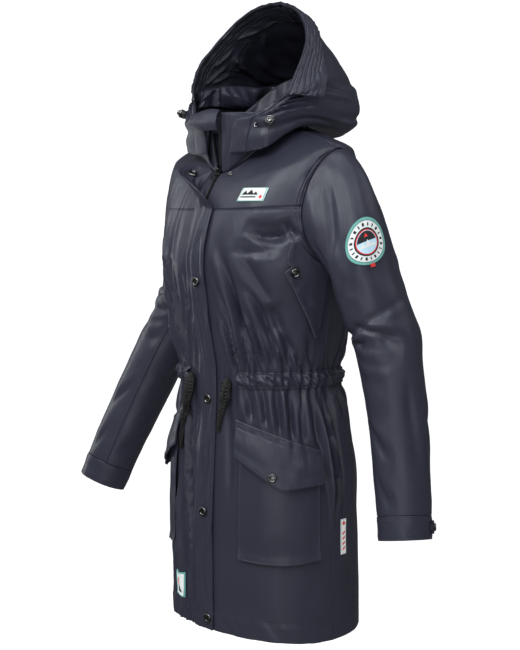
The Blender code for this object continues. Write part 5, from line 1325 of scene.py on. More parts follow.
LINING_CREASES = (
    # from_across, from_row, to_across, to_row, bow, width, depth, lip: a ridge towards the inside
    (2.00, 6.35, 2.85, 5.10, -0.008, 0.0040, 0.0070, -0.45),
    (1.70, 4.75, 2.25, 5.55, 0.003, 0.0055, 0.0065, 0.00),
    (1.30, 5.20, 1.95, 6.00, 0.003, 0.0050, 0.0050, 0.00),
    (1.00, 6.00, 1.80, 6.70, 0.003, 0.0050, 0.0045, 0.00),
    (1.00, 4.90, 1.60, 5.30, 0.002, 0.0050, 0.0050, 0.00),
    (2.50, 7.60, 3.30, 6.20, 0.006, 0.0070, 0.0060, 0.00),
    (2.60, 6.60, 3.50, 5.80, 0.006, 0.0070, 0.0050, 0.00),
    (1.20, 7.20, 2.00, 7.80, 0.003, 0.0050, 0.0045, 0.00),
    (2.38, 3.05, 2.02, 4.50, 0.003, 0.0042, 0.0080, -0.50),
    (2.46, 3.05, 2.24, 4.80, 0.002, 0.0036, 0.0070, -0.50),
    (2.54, 3.05, 2.44, 5.00, 0.001, 0.0036, 0.0070, -0.50),
    (2.62, 3.05, 2.68, 5.20, 0.000, 0.0042, 0.0070, -0.50),
    (1.20, 3.05, 1.60, 4.40, 0.002, 0.0050, 0.0050, -0.50),
)
LINING_SCALE = (0.055, 0.045)  # metres to a step across and to a row
LINING_EDGE = tuple(np.arange(0.0, 0.0300, 0.0013))  # finer columns under the stitched rows
LINING_LINES = (0.0040, 0.0130, 0.0220)  # rows of stitching through the facing, from the lining's front edge
LINING_ROWS = (3.1, 9.9)  # rows of the hood that the lining reaches from and to
FACING_WIDTH = 2.2  # columns of the hood that the brim's facing covers
NECK_FACING_STEP = 0.0040  # how far the neck's facing stands in front of the lining


def neck_facing_top(across):
    """The row of the top edge of the facing inside the hood's neck, which climbs towards the back."""
    return 4.45 + 0.67 * np.clip(np.asarray(across, float) - 1.9, 0, 1.6)


def make_lining(label, side):
    """The hood's inside: the brim's stitched facing, the gathered facing of the neck, and the dark lining."""
    across = 0.2 + 3.8 * spaced(0.200, 0.0018, LINING_EDGE)
    top = neck_facing_top(across)
    rows = np.concatenate([mix(LINING_ROWS[0], top, np.linspace(0, 1, 16)[:-1, None]),
                           mix(top, LINING_ROWS[1], spaced(0.220, 0.0042, (0.0, 0.0008, 0.0020))[:, None])])
    columns = np.repeat(across[None], len(rows), 0)
    points = hood_cloth(columns, rows, side)[0]
    distances = edge_distances(points)
    above = rows - neck_facing_top(columns)
    over = smooth(0.0, 0.25, above)
    lift = 0.0016 * noise(points / np.array([0.020, 0.030, 0.016]), 97 + side)
    along = distances["low"][0]
    bunch = ripples(98 + side, along / 0.0075, columns * 1.6 + along / 0.05)
    seam = bump(columns - FACING_WIDTH, 0.30) * over
    lift = lift + seam * (0.0010 - 0.0034 * np.abs(bunch))
    lift = lift + 0.0022 * over * bump(columns - FACING_WIDTH, 0.035)
    lift = lift + creases(LINING_CREASES, columns, rows, NO_TURN, LINING_SCALE)
    brim_part = smooth(BRIM_START, BRIM_START + 0.5, rows)
    lift = lift - brim_part * sewn(distances, [("left", at) for at in LINING_LINES], 99, 0.0016, 0.0016)
    pleat = ripples(105, columns * 4.4 + 0.25 * rows, rows * 0.35 + side)
    pleats = 0.0052 * (1 - 2.2 * np.abs(pleat)) * smooth(1.3, 2.0, columns)
    lift = lift - (NECK_FACING_STEP + pleats) * (1 - smooth(-0.02, 0.03, above))
    middle, low = columns[:-1, :-1] / 2 + columns[1:, 1:] / 2, above[:-1, :-1] / 2 + above[1:, 1:] / 2 < 0
    kinds = np.where(low, "shell", np.where(middle < FACING_WIDTH, "facing", "lining"))
    hood_wall(f"hood_lining_{label}", columns, rows, -LINING_INSET - LINING, -LINING_INSET, side,
              lift=np.minimum(lift, 0.0022), detail=0.5, inner=[("left", at) for at in LINING_LINES],
              material="lining", slot="lining", inside=kinds)


def make_hood():
    rows = spaced_rows(hood, 1.5, 0, 10, 0.0030)
    channel_rows = spaced_rows(hood, 0.2, 1.0, 5.6, 0.0026)
    for label, side in SIDES:
        columns, grid_rows = grid_of(spaced(0.230, 0.0030) * 4, rows)
        hood_wall(f"hood_{label}", columns, grid_rows, -CLOTH, 0, side, lines_at(NEAR_SEAM, "right"),
                  inside="inside")
        make_lining(label, side)
        columns, grid_rows = grid_of(CHANNEL_WIDTH * spaced(0.020, 0.0020), channel_rows)
        points = hood_cloth(columns, grid_rows, side)[0]
        across = columns / CHANNEL_WIDTH
        along = edge_distances(points)["low"][0]
        bunch = ripples(101 + side, along / 0.0095, across * 1.2) * smooth(3.2, 4.6, grid_rows)
        puff = np.sin(math.pi * across) ** 0.7 * (0.0010 + 0.0016 * bunch)
        puff = puff - 0.0007 * smooth(0.80, 1.0, across)
        hood_wall(f"hood_channel_{label}", columns, grid_rows, CHANNEL_GAP, CHANNEL_GAP + CLOTH, side,
                  lines_at(NEAR_SEAM, "right", "left"), puff, held="gathered", rests_on=(f"hood_{label}",))
    make_brim()


BRIM_LIFT = 0.008  # further out at its ends than the solid
BRIM_DROP, BRIM_LEAN = 0.15, 0.60  # rows further down than the solid, at its ends and their back corners
BRIM_DETAIL = 0.4  # share of the hood's creases that it takes on
BRIM_END_LINES = (0.004, 0.010)  # stitching across its ends
BRIM_LINES = (0.0030, 0.0125, 0.0215, 0.0305, 0.0400, 0.0490)  # rows of stitching, from the face edge


def make_brim():
    """The stitched brim: one piece over the top of the face edge, its ends standing a little off the hood."""
    half = spaced_rows(hood, 0.5, BRIM_START, 10.0, 0.0030)
    columns, rows = grid_of(BRIM_WIDTH * spaced(0.062, 0.0010), half)
    share = (rows - BRIM_START) / (10 - BRIM_START)
    drop = BRIM_DROP + (BRIM_SLOPE + BRIM_LEAN) * columns / BRIM_WIDTH
    rows = rows - drop * (1 - smooth(0.0, 0.20, share))
    stand = LAY_GAP + BRIM_STAND * (columns / BRIM_WIDTH) * smooth(7.2, BRIM_START, rows)
    stand = stand + BRIM_LIFT * (0.25 + 0.75 * columns / BRIM_WIDTH) * smooth(6.6, BRIM_START, rows)
    lines, ends = [("left", at) for at in BRIM_LINES], [("low", at) for at in BRIM_END_LINES]
    sides = []
    for side in (1, -1):
        points, normals = hood_cloth(columns, rows, side, BRIM_DETAIL)
        distances = edge_distances(points)
        lift = sewn(distances, lines + ends, 19, pucker=0.0010, groove=0.0019)
        off, along = distances["left"]
        slant = ripples(77, (along + 0.8 * off) / 0.0075, off / 0.0090)
        lift = lift + 0.0009 * slant * smooth(0.002, 0.006, off) - 0.0020 * bump(1 - share, 0.05)
        free = rolled(distances, ("left", "right", "low"))
        top = raised(points, normals, stand + DOUBLE_CLOTH + lift + free)
        under = raised(points, normals, stand + lift - free)
        for grid in (top, under):
            grid[-1, :, 0] = 0
        sides.append((untilted(top, side), untilted(under, side), untilted(points + normals * 0.02, side)))
    top, under, tips = (np.concatenate([ours, theirs[-2::-1]]) for ours, theirs in zip(*sides))
    stitch(top, unit(tips - top), edge_distances(top), lines + ends + [("high", BRIM_END_LINES[0])])
    stitch(under, -unit(tips - top), edge_distances(under), lines[1:4])
    make_wall("hood_brim", top, under, held="laid", rests_on=("hood_left", "hood_right"))


# ---- Collar, zip, slider and pull ----
def collar_right_edge(row):
    return mix(*COLLAR_RIGHT_EDGE, (row / 3) ** 0.8)


def make_collar():
    rows = spaced_rows(collar, 0.2, 0, 3, 0.0030)
    share, rows = grid_of(spaced(0.50, 0.0028), rows)
    start = collar_around(COLLAR_LEFT_EDGE, rows)
    end = 1 - collar_around(collar_right_edge(rows), rows)
    around = mix(start, end, share)
    points, normals = surface(collar, around, rows)
    gather = ripples(111, around / 0.016, rows / 4.0)
    lift = (0.0016 * gather + 0.0008 * noise(points / 0.012, 112)) * smooth(0.0, 1.6, rows)
    lift = lift * smooth(0, 0.03, share) * smooth(1.0, 0.97, share)
    make_cloth("collar", points, normals, -DOUBLE_CLOTH, 0,
               [("left", 0.0030), ("left", 0.0160), ("high", NEAR_SEAM), ("right", NEAR_SEAM)], lift, seed=21)
    bead(points[-1] - normals[-1] * DOUBLE_CLOTH / 2, 0.0016)
    make_turnback()
    guard_rows = spaced_rows(collar, 0.0, 0.1, 2.1, 0.0030)
    share, rows = grid_of(spaced(0.056, 0.0028), guard_rows)
    around = collar_around(mix(*GUARD_SPAN, share), rows)
    points, normals = surface(collar, around, rows)
    make_cloth("zip_guard", points, normals, -GUARD_INSET - CLOTH, -GUARD_INSET, [("left", NEAR_SEAM)],
               material="lining", slot="lining", seed=23)


def make_turnback():
    x, root_y, root_z, top_y, top_z, low_y, low_z = np.array(TURNBACK).T
    lines = [np.stack([x, root_y, root_z], -1)]
    for share in np.linspace(0, 1, 4):
        bulge = 0.006 * math.sin(math.pi * share)
        lines.append(np.stack([x, mix(top_y, low_y, share) - bulge, mix(top_z, low_z, share)], -1))
    fold = np.array(lines)
    down, across = np.linspace(0, len(fold) - 1, 34), spaced(0.085, 0.0024) * (fold.shape[1] - 1)
    points = spline(spline(fold, down).swapaxes(0, 1), across).swapaxes(0, 1)
    normals = grid_normals(points)
    lift = 0.0012 * noise(points / 0.020, 121)
    make_cloth("collar_turnback", points, normals, -DOUBLE_CLOTH / 2, DOUBLE_CLOTH / 2,
               lines_at(NEAR_SEAM, "high", "left"), lift, seed=25, held="folded", rests_on=("collar",))


BEADS = []


def bead(line, radius=0.0009):
    """Piping along a line."""
    BEADS.append(tube(line, radius, 6))


def slider_frame():
    """The slider's place on the zip, and its outward and downward directions."""
    point, normal = surface(body, np.array(0.0), np.array(SLIDER_ROW))
    below = body(np.array(0.0), np.array(SLIDER_ROW - 0.4))
    down = unit(below - point)
    return point, unit(normal - down * float(np.dot(normal, down))), down


def place_matrix(place, out, down):
    """A frame with -Z down the zip, -Y outwards and X to the wearer's left."""
    matrix = Matrix(((1, -out[0], -down[0]), (0, -out[1], -down[1]), (0, -out[2], -down[2]))).to_4x4()
    matrix.translation = place
    return matrix


TOOTH_PITCH = 0.0024


def teeth_along(line, normals, aside, spread):
    """Teeth along a line, each a small bevelled block, spread to one side of it."""
    length = run_of(line)
    places = np.arange(0.001, length[-1] - 0.001, TOOTH_PITCH)
    made = []
    for place, forward, out in zip(*walk(line, normals, length, places, 0.0008)):
        sideways = unit(np.cross(forward, out)) * aside
        matrix = Matrix([[sideways[k], forward[k], out[k]] for k in range(3)]).to_4x4()
        matrix.translation = place + sideways * spread + out * 0.0006
        made.append(box((0.0030, 0.00125, 0.0016), matrix))
    return made


def tape(name, points, normals, top, foot):
    """A piece of the zip's tape between two depths under the cloth's surface."""
    make_wall(name, points - normals * top, points - normals * foot, "zip", slot="zip", held=None)


def make_zip():
    rows = spaced_rows(body, 0.0, 0.3, SLIDER_ROW, 0.0030)
    share, grid_rows = grid_of(np.linspace(-1, 1, 5), rows)
    points, normals = body_cloth(around_at((ZIP_HALF - 0.0004) * share, grid_rows), grid_rows)
    tape("zip_chain", points, normals, 0.0002, 0.0012)
    middle, out = points[:, 2] - normals[:, 2] * 0.0002, normals[:, 2]
    teeth = teeth_along(middle, out, 1, 0.0009)
    teeth += teeth_along(middle[::-1], out[::-1], 1, 0.0009)
    tape_rows = spaced_rows(collar, 0.0, 0.4, 2.6, 0.0030)
    edge, width = TAPE_EDGE
    for label, side in SIDES:
        share, grid_rows = grid_of(np.linspace(0, 1, 6), tape_rows)
        near = np.full_like(grid_rows, COLLAR_LEFT_EDGE) if side > 0 else collar_right_edge(grid_rows)
        around = side * collar_around(near - width + (width - edge) * share, grid_rows)
        points, normals = surface(collar, around, grid_rows)
        line = points[:, 0] - normals[:, 0] * 0.0008
        teeth += teeth_along(line, normals[:, 0], -side, 0.0006)
        points, normals = mirrored(side, points), mirrored(side, normals)
        tape(f"zip_tape_{label}", points, normals, 0.0004, 0.0018)
    make_piece("zip_teeth", *gathered(teeth), "teeth", slot="zip", angle=30)


PIN_RADIUS, PULL_LOOP = 0.0007, 0.0017
PULL_PARTS = (  # from and to, down from the loop, width and thickness
    (0.0, 0.0050, 0.0030, 0.0014), (0.0045, 0.0160, 0.0040, 0.0018), (0.0155, 0.0205, 0.0050, 0.0020),
)


def make_slider():
    """The slider with its two lugs and cross pin, and the pull that swings on the pin."""
    point, out, down = slider_frame()
    matrix = place_matrix(point + out * 0.0012, out, down)
    pin_y, pin_z = -0.0062, 0.0030
    parts = [
        box((0.0094, 0.0026, 0.0130), matrix @ Matrix.Translation((0, -0.0016, 0)), 0.0008),
        box((0.0070, 0.0010, 0.0090), matrix @ Matrix.Translation((0, -0.0031, -0.0010)), 0.0004),
    ]
    for side in (-1, 1):
        lug = matrix @ Matrix.Translation((side * 0.0037, -0.0052, pin_z))
        parts.append(box((0.0012, 0.0056, 0.0040), lug, 0.0004))
    pin = [matrix @ Vector((x, pin_y, pin_z)) for x in (-0.0040, -0.0020, 0.0020, 0.0040)]
    parts.append(tube([tuple(place) for place in pin], PIN_RADIUS, 12))
    make_piece("zip_slider", *gathered(parts), "metal", ("zip_slider",), angle=30)
    loop = [matrix @ Vector((0.0, pin_y + PULL_LOOP * math.cos(a), pin_z + PULL_LOOP * math.sin(a)))
            for a in np.linspace(0, 2 * math.pi, 25)]
    parts = [tube([tuple(place) for place in loop], PIN_RADIUS, 8)]
    tab = matrix @ Matrix.Translation((0, pin_y, pin_z - 0.0023))
    for low, high, wide, thick in PULL_PARTS:
        middle = Matrix.Translation((0, 0, -(low + high) / 2))
        parts.append(box((wide, thick, high - low), tab @ middle, 0.0005))
    for at in (0.0075, 0.0100, 0.0125, 0.0150):
        parts.append(box((0.0032, 0.0024, 0.0007), tab @ Matrix.Translation((0, 0, -at)), 0.0002))
    make_piece("zip_pull", *gathered(parts), "metal", ("zip_pull",), body="pull", angle=30)


# ---- Storm flap and snaps ----
SNAPS = []  # place, axis, radius and the CAD node that each stands for


def flap_point(share, row):
    """A point of the storm flap: share is 0 at its sewn edge and 1 at its free edge."""
    share, row = together(share, row)
    turned_back = smooth(FLAP_TOP_SHUT, FLAP_TOP_OPEN, body(np.zeros_like(row), row)[..., 2])
    width = (FLAP_FREE - FLAP_FIXED) * share
    stand = mix(SEWN_STAND, FLAP_STAND, smooth(0, 0.33, share))
    point, normal = body_cloth(around_at(FLAP_FIXED + width, row), row, FLAP_PLAIN)
    shut = raised(point, normal, stand)
    sewn_edge = around_at(FLAP_FIXED, row)
    point, normal = body_cloth(sewn_edge, row, FLAP_PLAIN)
    across = unit((body(sewn_edge + 0.002, row) - body(sewn_edge - 0.002, row)) * np.array([1, 1, 0]))
    angle = np.radians(FLAP_TURN) * turned_back
    ahead, out = (width * np.cos(angle))[..., None], (stand + width * np.sin(angle))[..., None]
    opened = point + across * ahead + normal * out
    return mix(shut, opened, smooth(0, 0.15, turned_back)[..., None])


def make_flap():
    rows = spaced_rows(flap_point, 0.3, 0, FLAP_END_ROW, 0.0032)
    share, grid_rows = grid_of(spaced(0.049, 0.0017), rows)
    points = flap_point(share, grid_rows)
    normals = grid_normals(points)
    distances = edge_distances(points)
    along, across = distances["low"]
    first = ripples(131, across / 0.0095 + 0.5 * ripples(133, across / 0.03, along / 0.08), along / 0.070)
    second = ripples(132, across / 0.0060, along / 0.030)
    lift = 0.0020 * (np.clip(1 - 2.2 * np.abs(first), 0, 1) - 0.3) + 0.0006 * second
    make_cloth("storm_flap", points, normals, -DOUBLE_CLOTH / 2, DOUBLE_CLOTH / 2,
               [("left", NEAR_SEAM), ("right", 0.0035), ("low", HEM_TURN)], lift, seed=31)
    for number, (height, at) in enumerate(FRONT_SNAPS, 1):
        flap_snap(f"flap_snap_{number}", at, float(rows_at(height)), 1)
    flap_snap(f"flap_snap_{len(FRONT_SNAPS) + 1}", *TOP_SNAP, -1)
    distance, row = FLAP_STUD
    place, normal = body_cloth(around_at(distance, row), np.array(row))
    SNAPS.append((place, normal, STUD_RADIUS, "flap_stud"))


def flap_snap(name, share, row, face):
    """A snap on the flap: face is 1 on its outer face and -1 on its inner one."""
    step = 0.02
    grid = flap_point(*grid_of((share - step, share, share + step), (row - step, row, row + step)))
    normal = grid_normals(grid)[1, 1] * face
    SNAPS.append((grid[1, 1] + normal * DOUBLE_CLOTH / 2, normal, SNAP_RADIUS, name))


SNAP_PROFILE = (
    # radius and height, both as shares of the radius, from the middle of the cap down to its foot
    (0.00, 0.30), (0.10, 0.31), (0.42, 0.30), (0.50, 0.27), (0.56, 0.29), (0.62, 0.38), (0.74, 0.42),
    (0.86, 0.39), (0.95, 0.30), (1.00, 0.18), (1.00, 0.06), (0.96, 0.00), (0.80, -0.04), (0.00, -0.04),
)


def make_snaps():
    parts = []
    for place, normal, radius, _ in SNAPS:
        profile = [(radius * across, radius * high) for across, high in SNAP_PROFILE]
        parts.append(lathe(profile, place, normal, 28))
        aside = unit(np.cross(normal, [0.2, 0.1, 0.9]))
        other = np.cross(normal, aside)
        for spoke in turns(6):
            dot = place + (aside * math.cos(spoke) + other * math.sin(spoke)) * 0.27 * radius
            small = [(0, 0.40 * radius), (0.07 * radius, 0.37 * radius), (0.09 * radius, 0.28 * radius)]
            parts.append(lathe(small, dot, normal, 8))
    make_piece("snaps", *gathered(parts), "metal", [name for *_, name in SNAPS], angle=40)


# ---- Pockets ----
def front_grid(columns, rows, side):
    return tuple(mirrored(side, grid) for grid in body_cloth(front_around(columns, rows, side), rows))


def flipped_edges(lines, side):
    if side > 0:
        return lines
    return [({"left": "right", "right": "left"}.get(edge, edge), at) for edge, at in lines]


def make_pockets():
    first, last = POCKET_COLUMNS
    share, up = grid_of(spaced(0.150, 0.0026), spaced(0.205, 0.0034))
    top = mix(*POCKET_TOP, share)
    bottom = POCKET_BOTTOM - 0.006 * np.sin(math.pi * share)
    rows, columns = rows_at(mix(bottom, top, up)), mix(first, last, share)
    puff = 0.0034 * (np.sin(math.pi * share) * np.sin(math.pi * np.clip(up * 1.1, 0, 1))) ** 0.5
    puff = puff + 0.0036 * bump(up, 0.045) + 0.0020 * bump(np.minimum(share, 1 - share), 0.03)
    flap_share, flap_up = grid_of(spaced(0.160, 0.0024), spaced(0.075, 0.0024))
    flap_columns = first - 0.3 + (last - first + 0.65) * flap_share
    flap_top = mix(*FLAP_TOP, flap_share)
    length = np.interp(flap_share, (0, FLAP_POINT - 0.03, FLAP_POINT + 0.03, 1),
                       (FLAP_LENGTHS[0], FLAP_LENGTHS[1] - 0.001, FLAP_LENGTHS[1] - 0.001, FLAP_LENGTHS[2]))
    flap_rows = rows_at(flap_top - length * (1 - flap_up))
    stand = 0.0060 * smooth(1.0, 0.35, flap_up) + 0.0024 * smooth(0.30, 0.0, flap_up)
    stand = stand + 0.0020 * np.sin(math.pi * flap_share) * (1 - flap_up)
    low = PATCH_STAND + CLOTH + LAY_GAP
    for label, side in SIDES:
        points, normals = front_grid(columns, rows, side)
        lift = mirrored(side, puff) + 0.0008 * noise(points / 0.025, 141)
        make_cloth(f"patch_pocket_{label}", points, normals, PATCH_STAND, PATCH_STAND + CLOTH,
                   lines_at(0.0030, "left", "right", "low"), np.maximum(lift, -0.0006), seed=33,
                   held="laid", rests_on=(f"front_{label}",))
        points, normals = front_grid(flap_columns, flap_rows, side)
        lift = mirrored(side, stand) + 0.0008 * noise(points / 0.022, 142)
        make_cloth(f"pocket_flap_{label}", points, normals, low, low + DOUBLE_CLOTH,
                   [*lines_at(0.0035, "left", "right", "low", "high"), ("high", 0.0105)],
                   np.maximum(lift, -0.0004), seed=35, held="laid", rests_on=(f"patch_pocket_{label}",))
        bead(points[-1] + normals[-1] * (low + DOUBLE_CLOTH * 0.6), 0.0012)
        height = mix(*FLAP_TOP, FLAP_POINT) - FLAP_LENGTHS[1] + POCKET_SNAP_RISE
        front_snap(f"pocket_snap_{label}", POCKET_SNAP_COLUMN, height, side,
                   low + DOUBLE_CLOTH + FLAP_SNAP_RISE)
        make_welt(label, side)


def make_welt(label, side):
    """The hand pocket's pointed welt, sewn along its side edge, with a piped front edge."""
    heights, fronts = np.array(WELT).T
    down = spaced(abs(heights[-1] - heights[0]), 0.0026)[::-1]
    height = mix(heights[0], heights[-1], down)
    front = np.interp(-height, -heights, fronts)
    share, _ = grid_of(spaced(0.045, 0.0022), down)
    columns = front[:, None] + (WELT_SIDE - front[:, None]) * share
    rows = np.repeat(rows_at(height)[:, None], share.shape[1], 1)
    points, normals = front_grid(columns, rows, side)
    dent = uneven(points, 151, (0.0018, (0.016, 0.016, 0.012)), (0.0008, 0.008))
    low_part = smooth(-0.235, -0.275, rows_height(rows))
    dent = dent * (0.4 + 0.8 * low_part)
    near = flipped_edges([("left", NEAR_SEAM)], side)
    free_edge = edge_distances(points)[near[0][0]][0]
    dent = dent + WELT_RISE * bump(free_edge, 0.0080)
    make_cloth(f"hand_pocket_{label}", points, normals, WELT_STAND, WELT_STAND + DOUBLE_CLOTH, near,
               np.maximum(dent + 0.0010, 0), seed=37, held="laid", rests_on=(f"front_{label}",))
    at = 0 if side > 0 else -1
    bead(points[:, at] + normals[:, at] * (WELT_STAND + 0.0036 + DOUBLE_CLOTH * 0.6), 0.0012)
    front_snap(f"hand_snap_{label}", *HAND_SNAP, side, WELT_STAND + DOUBLE_CLOTH + WELT_SNAP_RISE)


def rows_height(rows):
    return body(np.zeros_like(rows), rows)[..., 2]


def front_snap(name, column, height, side, lift):
    """A snap on a piece of a front whose outer face is lift above the panel."""
    row = rows_at(height)
    place, normal = body_cloth(front_around(column, row, side), row)
    SNAPS.append((place + normal * lift, normal, POCKET_SNAP_RADIUS, name))


# ---- Cords, stoppers and patches ----
RIB_PITCH, RIB_ZIGZAG = 0.0058, 0.0090  # of the elastic's ribs
EYELETS = []  # points and faces of each, and of the stoppers' hoops
EYELET_PROFILE = (  # radius and height, from the bore up and over
    (0.0021, -0.0010), (0.0021, 0.0002), (0.0025, 0.0009), (0.0033, 0.0012), (0.0040, 0.0009),
    (0.0042, 0.0002),
)


def waist_route(label, side, count):
    table = np.array(LEFT_WAIST_CORD if label == "left" else RIGHT_WAIST_CORD)
    distance, height, stand, radius = spline(table, np.linspace(0, len(table) - 1, count)).T
    row = rows_at(height)
    place, normal = body_cloth(side * around_at(distance, row), row, CORD_PLAIN)
    return raised(place, normal, stand + radius), radius


def make_waist_cords():
    """The drawstring's free ends: gathered knitted elastic, ribbed in a zigzag."""
    for label, side in SIDES:
        line, radius = waist_route(label, side, 150)
        length = run_of(line)

        def ribs(i, angle, length=length):
            zigzag = RIB_ZIGZAG * np.abs(wrapped(angle / (2 * math.pi) * 3))
            wave = np.abs(np.sin(math.pi * (length[i] + 2 * zigzag) / RIB_PITCH))
            lump = ripples(161 + side, np.full(angle.shape, length[i] / 0.010), 2 * np.cos(angle) + 5)
            return (0.74 + 0.38 * wave + 0.18 * lump) * (0.45 + 0.55 * min(1.0, length[i] / 0.008))

        name = f"waist_cord_{label}"
        cord = make_piece(name, *tube(line, radius, 28, ribs), "elastic", (name,))


def make_hood_cords():
    for label, side in SIDES:
        eyelet, eyelet_normal = hood_cloth(*(np.array(place) for place in HOOD_EYELETS[label]), side, 0.0)
        across, row, stand = HOOD_STOPS[label]
        stop, stop_normal = hood_cloth(np.array(across), np.array(row), side, 0.0)
        stop = stop + stop_normal * stand
        inside = eyelet - eyelet_normal * 0.0050
        share = np.linspace(0, 1, 40)[:, None]
        start = eyelet + eyelet_normal * 0.0012
        hump = np.sin(math.pi * np.minimum(share / 0.70, 1.0)) * 0.0060
        line = np.concatenate([mix(inside, start, np.linspace(0, 0.9, 8)[:, None]),
                               start + (stop - start) * share + eyelet_normal * hump])
        line = np.array([untilted(point, side) for point in line])

        def braid(i, angle):
            return 1.0 + 0.08 * np.sin(3 * angle + i * 1.1) * np.sin(3 * angle - i * 1.1)

        name = f"hood_cord_{label}"
        cord = make_piece(name, *tube(line, HOOD_CORD / 2, 14, braid), "zip", (name,))
        mirror = np.array([side, 1, 1])
        axis = unit(stop_normal * mirror + np.array([0, 0, 0.25]))
        normal = eyelet_normal * mirror
        EYELETS.append(lathe(EYELET_PROFILE, untilted(eyelet, side), normal, 24))
        stopper = make_stopper(label, untilted(stop, side), axis)


def make_stopper(label, place, axis):
    """A round cord stopper: a ribbed barrel with a bore, a metal ring, and the button that slides in it."""
    half, radius = STOP_LENGTH / 2, STOP_RADIUS
    barrel = [
        (0, 0.0005), (BUTTON_RADIUS + 0.0005, 0.0005), (BUTTON_RADIUS + 0.0005, half - 0.0004),
        (BUTTON_RADIUS + 0.0009, half), (0.80 * radius, half), (0.92 * radius, 0.80 * half),
        (0.93 * radius, 0.50 * half), (0.97 * radius, 0.42 * half), (radius, 0.30 * half),
        (radius, 0.05 * half), (0.90 * radius, 0.00), (0.90 * radius, -0.14 * half), (radius, -0.20 * half),
        (radius, -0.50 * half), (0.92 * radius, -0.85 * half), (0.70 * radius, -half), (0, -half),
    ]
    name = f"cord_stop_{label}"
    stopper = make_piece(name, *lathe(barrel, place, axis, 32), "toggle", (name,), angle=40)
    hoop = [(0.93 * radius, 0.66 * half), (1.02 * radius, 0.60 * half), (1.02 * radius, 0.50 * half),
            (0.93 * radius, 0.44 * half)]
    EYELETS.append(lathe(hoop, place, axis, 32))
    top = half + BUTTON_TRAVEL + 0.0008
    foot = BUTTON_TRAVEL + 0.0024  # clear of the cord when pressed
    button = [(0, top - 0.0004), (0.40 * BUTTON_RADIUS, top - 0.0003), (0.60 * BUTTON_RADIUS, top),
              (0.80 * BUTTON_RADIUS, top), (BUTTON_RADIUS, top - 0.0008),
              (BUTTON_RADIUS, foot), (0, foot)]
    name = f"cord_stop_button_{label}"
    button = make_piece(name, *lathe(button, place, axis, 24), "metal", (name,), body=f"{label}_button",
                        angle=40)
    return [stopper, button]


def place_on_body(distances, heights):
    """Points and normals at distances from the front middle, along the cloth, and heights."""
    around, row = np.full(distances.shape, 0.1), np.zeros(distances.shape)
    for _ in range(4):
        low, high = np.zeros(distances.shape), np.full(distances.shape, float(NECK_ROW))
        for _ in range(24):
            middle = (low + high) / 2
            under = body(around, middle)[..., 2] < heights
            low, high = np.where(under, middle, low), np.where(under, high, middle)
        row = (low + high) / 2
        around = around_at(distances, row)
    return body_cloth(around, row, PATCH_PLAIN)


def oblong(left, low, right, high):
    return (left, low), (right, low), (right, high), (left, high)


# The patches' ground colours, and the shapes on them: colour, lift in steps, and corners as shares of the
# patch across and up.
PATCH_ART = {
    "chest_patch": (
        "teal",
        ("white", 1, oblong(0.03, 0.08, 0.97, 0.92)),
        ("ink", 2, oblong(0.10, 0.28, 0.66, 0.36)),
        ("ink", 2, ((0.10, 0.46), (0.22, 0.76), (0.34, 0.46))),
        ("ink", 2, ((0.28, 0.46), (0.42, 0.82), (0.56, 0.46))),
        ("ink", 2, ((0.50, 0.46), (0.60, 0.68), (0.70, 0.46))),
        ("red", 3, ((0.76, 0.32), (0.82, 0.20), (0.88, 0.32), (0.82, 0.46))),
    ),
    "side_tag": (
        "white",
        ("red", 1, ((0.50, 0.80), (0.76, 0.87), (0.50, 0.94), (0.24, 0.87))),
        *(("red", 1, ((0.30, low), (0.70, low + 0.06), (0.70, low + 0.12), (0.30, low + 0.06)))
          for low in (0.12, 0.26, 0.40, 0.54)),
    ),
    "hem_badge": (
        "teal",
        ("white", 1, oblong(0.10, 0.08, 0.90, 0.92)),
        ("ink", 2, ((0.18, 0.20), (0.50, 0.62), (0.82, 0.20))),
        ("red", 3, ((0.34, 0.56), (0.50, 0.46), (0.66, 0.56), (0.66, 0.76), (0.34, 0.76))),
    ),
}
ART_STEP = 0.00022


def read_grid(grid, across, up):
    """A grid of points read at shares across and up."""
    lines = spline(grid, np.asarray(up, float).ravel() * (len(grid) - 1))
    return read_along(lines, np.asarray(across, float).ravel() * (grid.shape[1] - 1))


def make_patches():
    for name, ((low, high), (near, far), slant, stand) in PATCHES.items():
        across, up = grid_of(*(spaced(size, 0.0016, (0, 0.0006)) for size in (far - near, high - low)))
        distances = mix(near, far, across) + slant * up
        points, normals = place_on_body(distances, mix(low, high, up))
        distances = edge_distances(points)
        top = raised(points, normals, stand + PATCH_CLOTH + rolled(distances))
        under = points + normals * stand
        ground, *shapes = PATCH_ART[name]
        make_wall(name, top, under, ground, slot="patch", held="laid",
                  rests_on=("front_right" if name == "hem_badge" else "front_left",))
        stitch(top, normals, distances, lines_at(PATCH_STITCH, *EDGES), 0.0020)

        def on_patch(across, up, lift):
            return read_grid(top, across, up) + read_grid(normals, across, up) * lift

        for colour, lift, corners in shapes:
            add_art(colour, corners, on_patch, lift)


ART = []  # colour and (points, faces) of each shape


def add_art(colour, corners, place, lift):
    """A flat shape laid on a patch: a fine strip between its corners, fanned from its middle."""
    corners = np.array(corners, float)
    closed = np.concatenate([corners, corners[:1]])
    outline = np.concatenate([
        start + (end - start) * np.linspace(0, 1, 12, endpoint=False)[:, None]
        for start, end in zip(closed[:-1], closed[1:])
    ])
    middle, shares = corners.mean(0), np.linspace(1.0, 0.20, 5)
    flat = np.concatenate([*(middle + (outline - middle) * share for share in shares), middle[None]])
    points = place(flat[:, 0], flat[:, 1], ART_STEP * lift)
    count = len(outline)
    faces = grid_faces(len(shares), count, 0, True).tolist()
    last = (len(shares) - 1) * count
    faces += [[last + j, last + (j + 1) % count, last + count] for j in range(count)]
    ART.append((colour, points, faces))


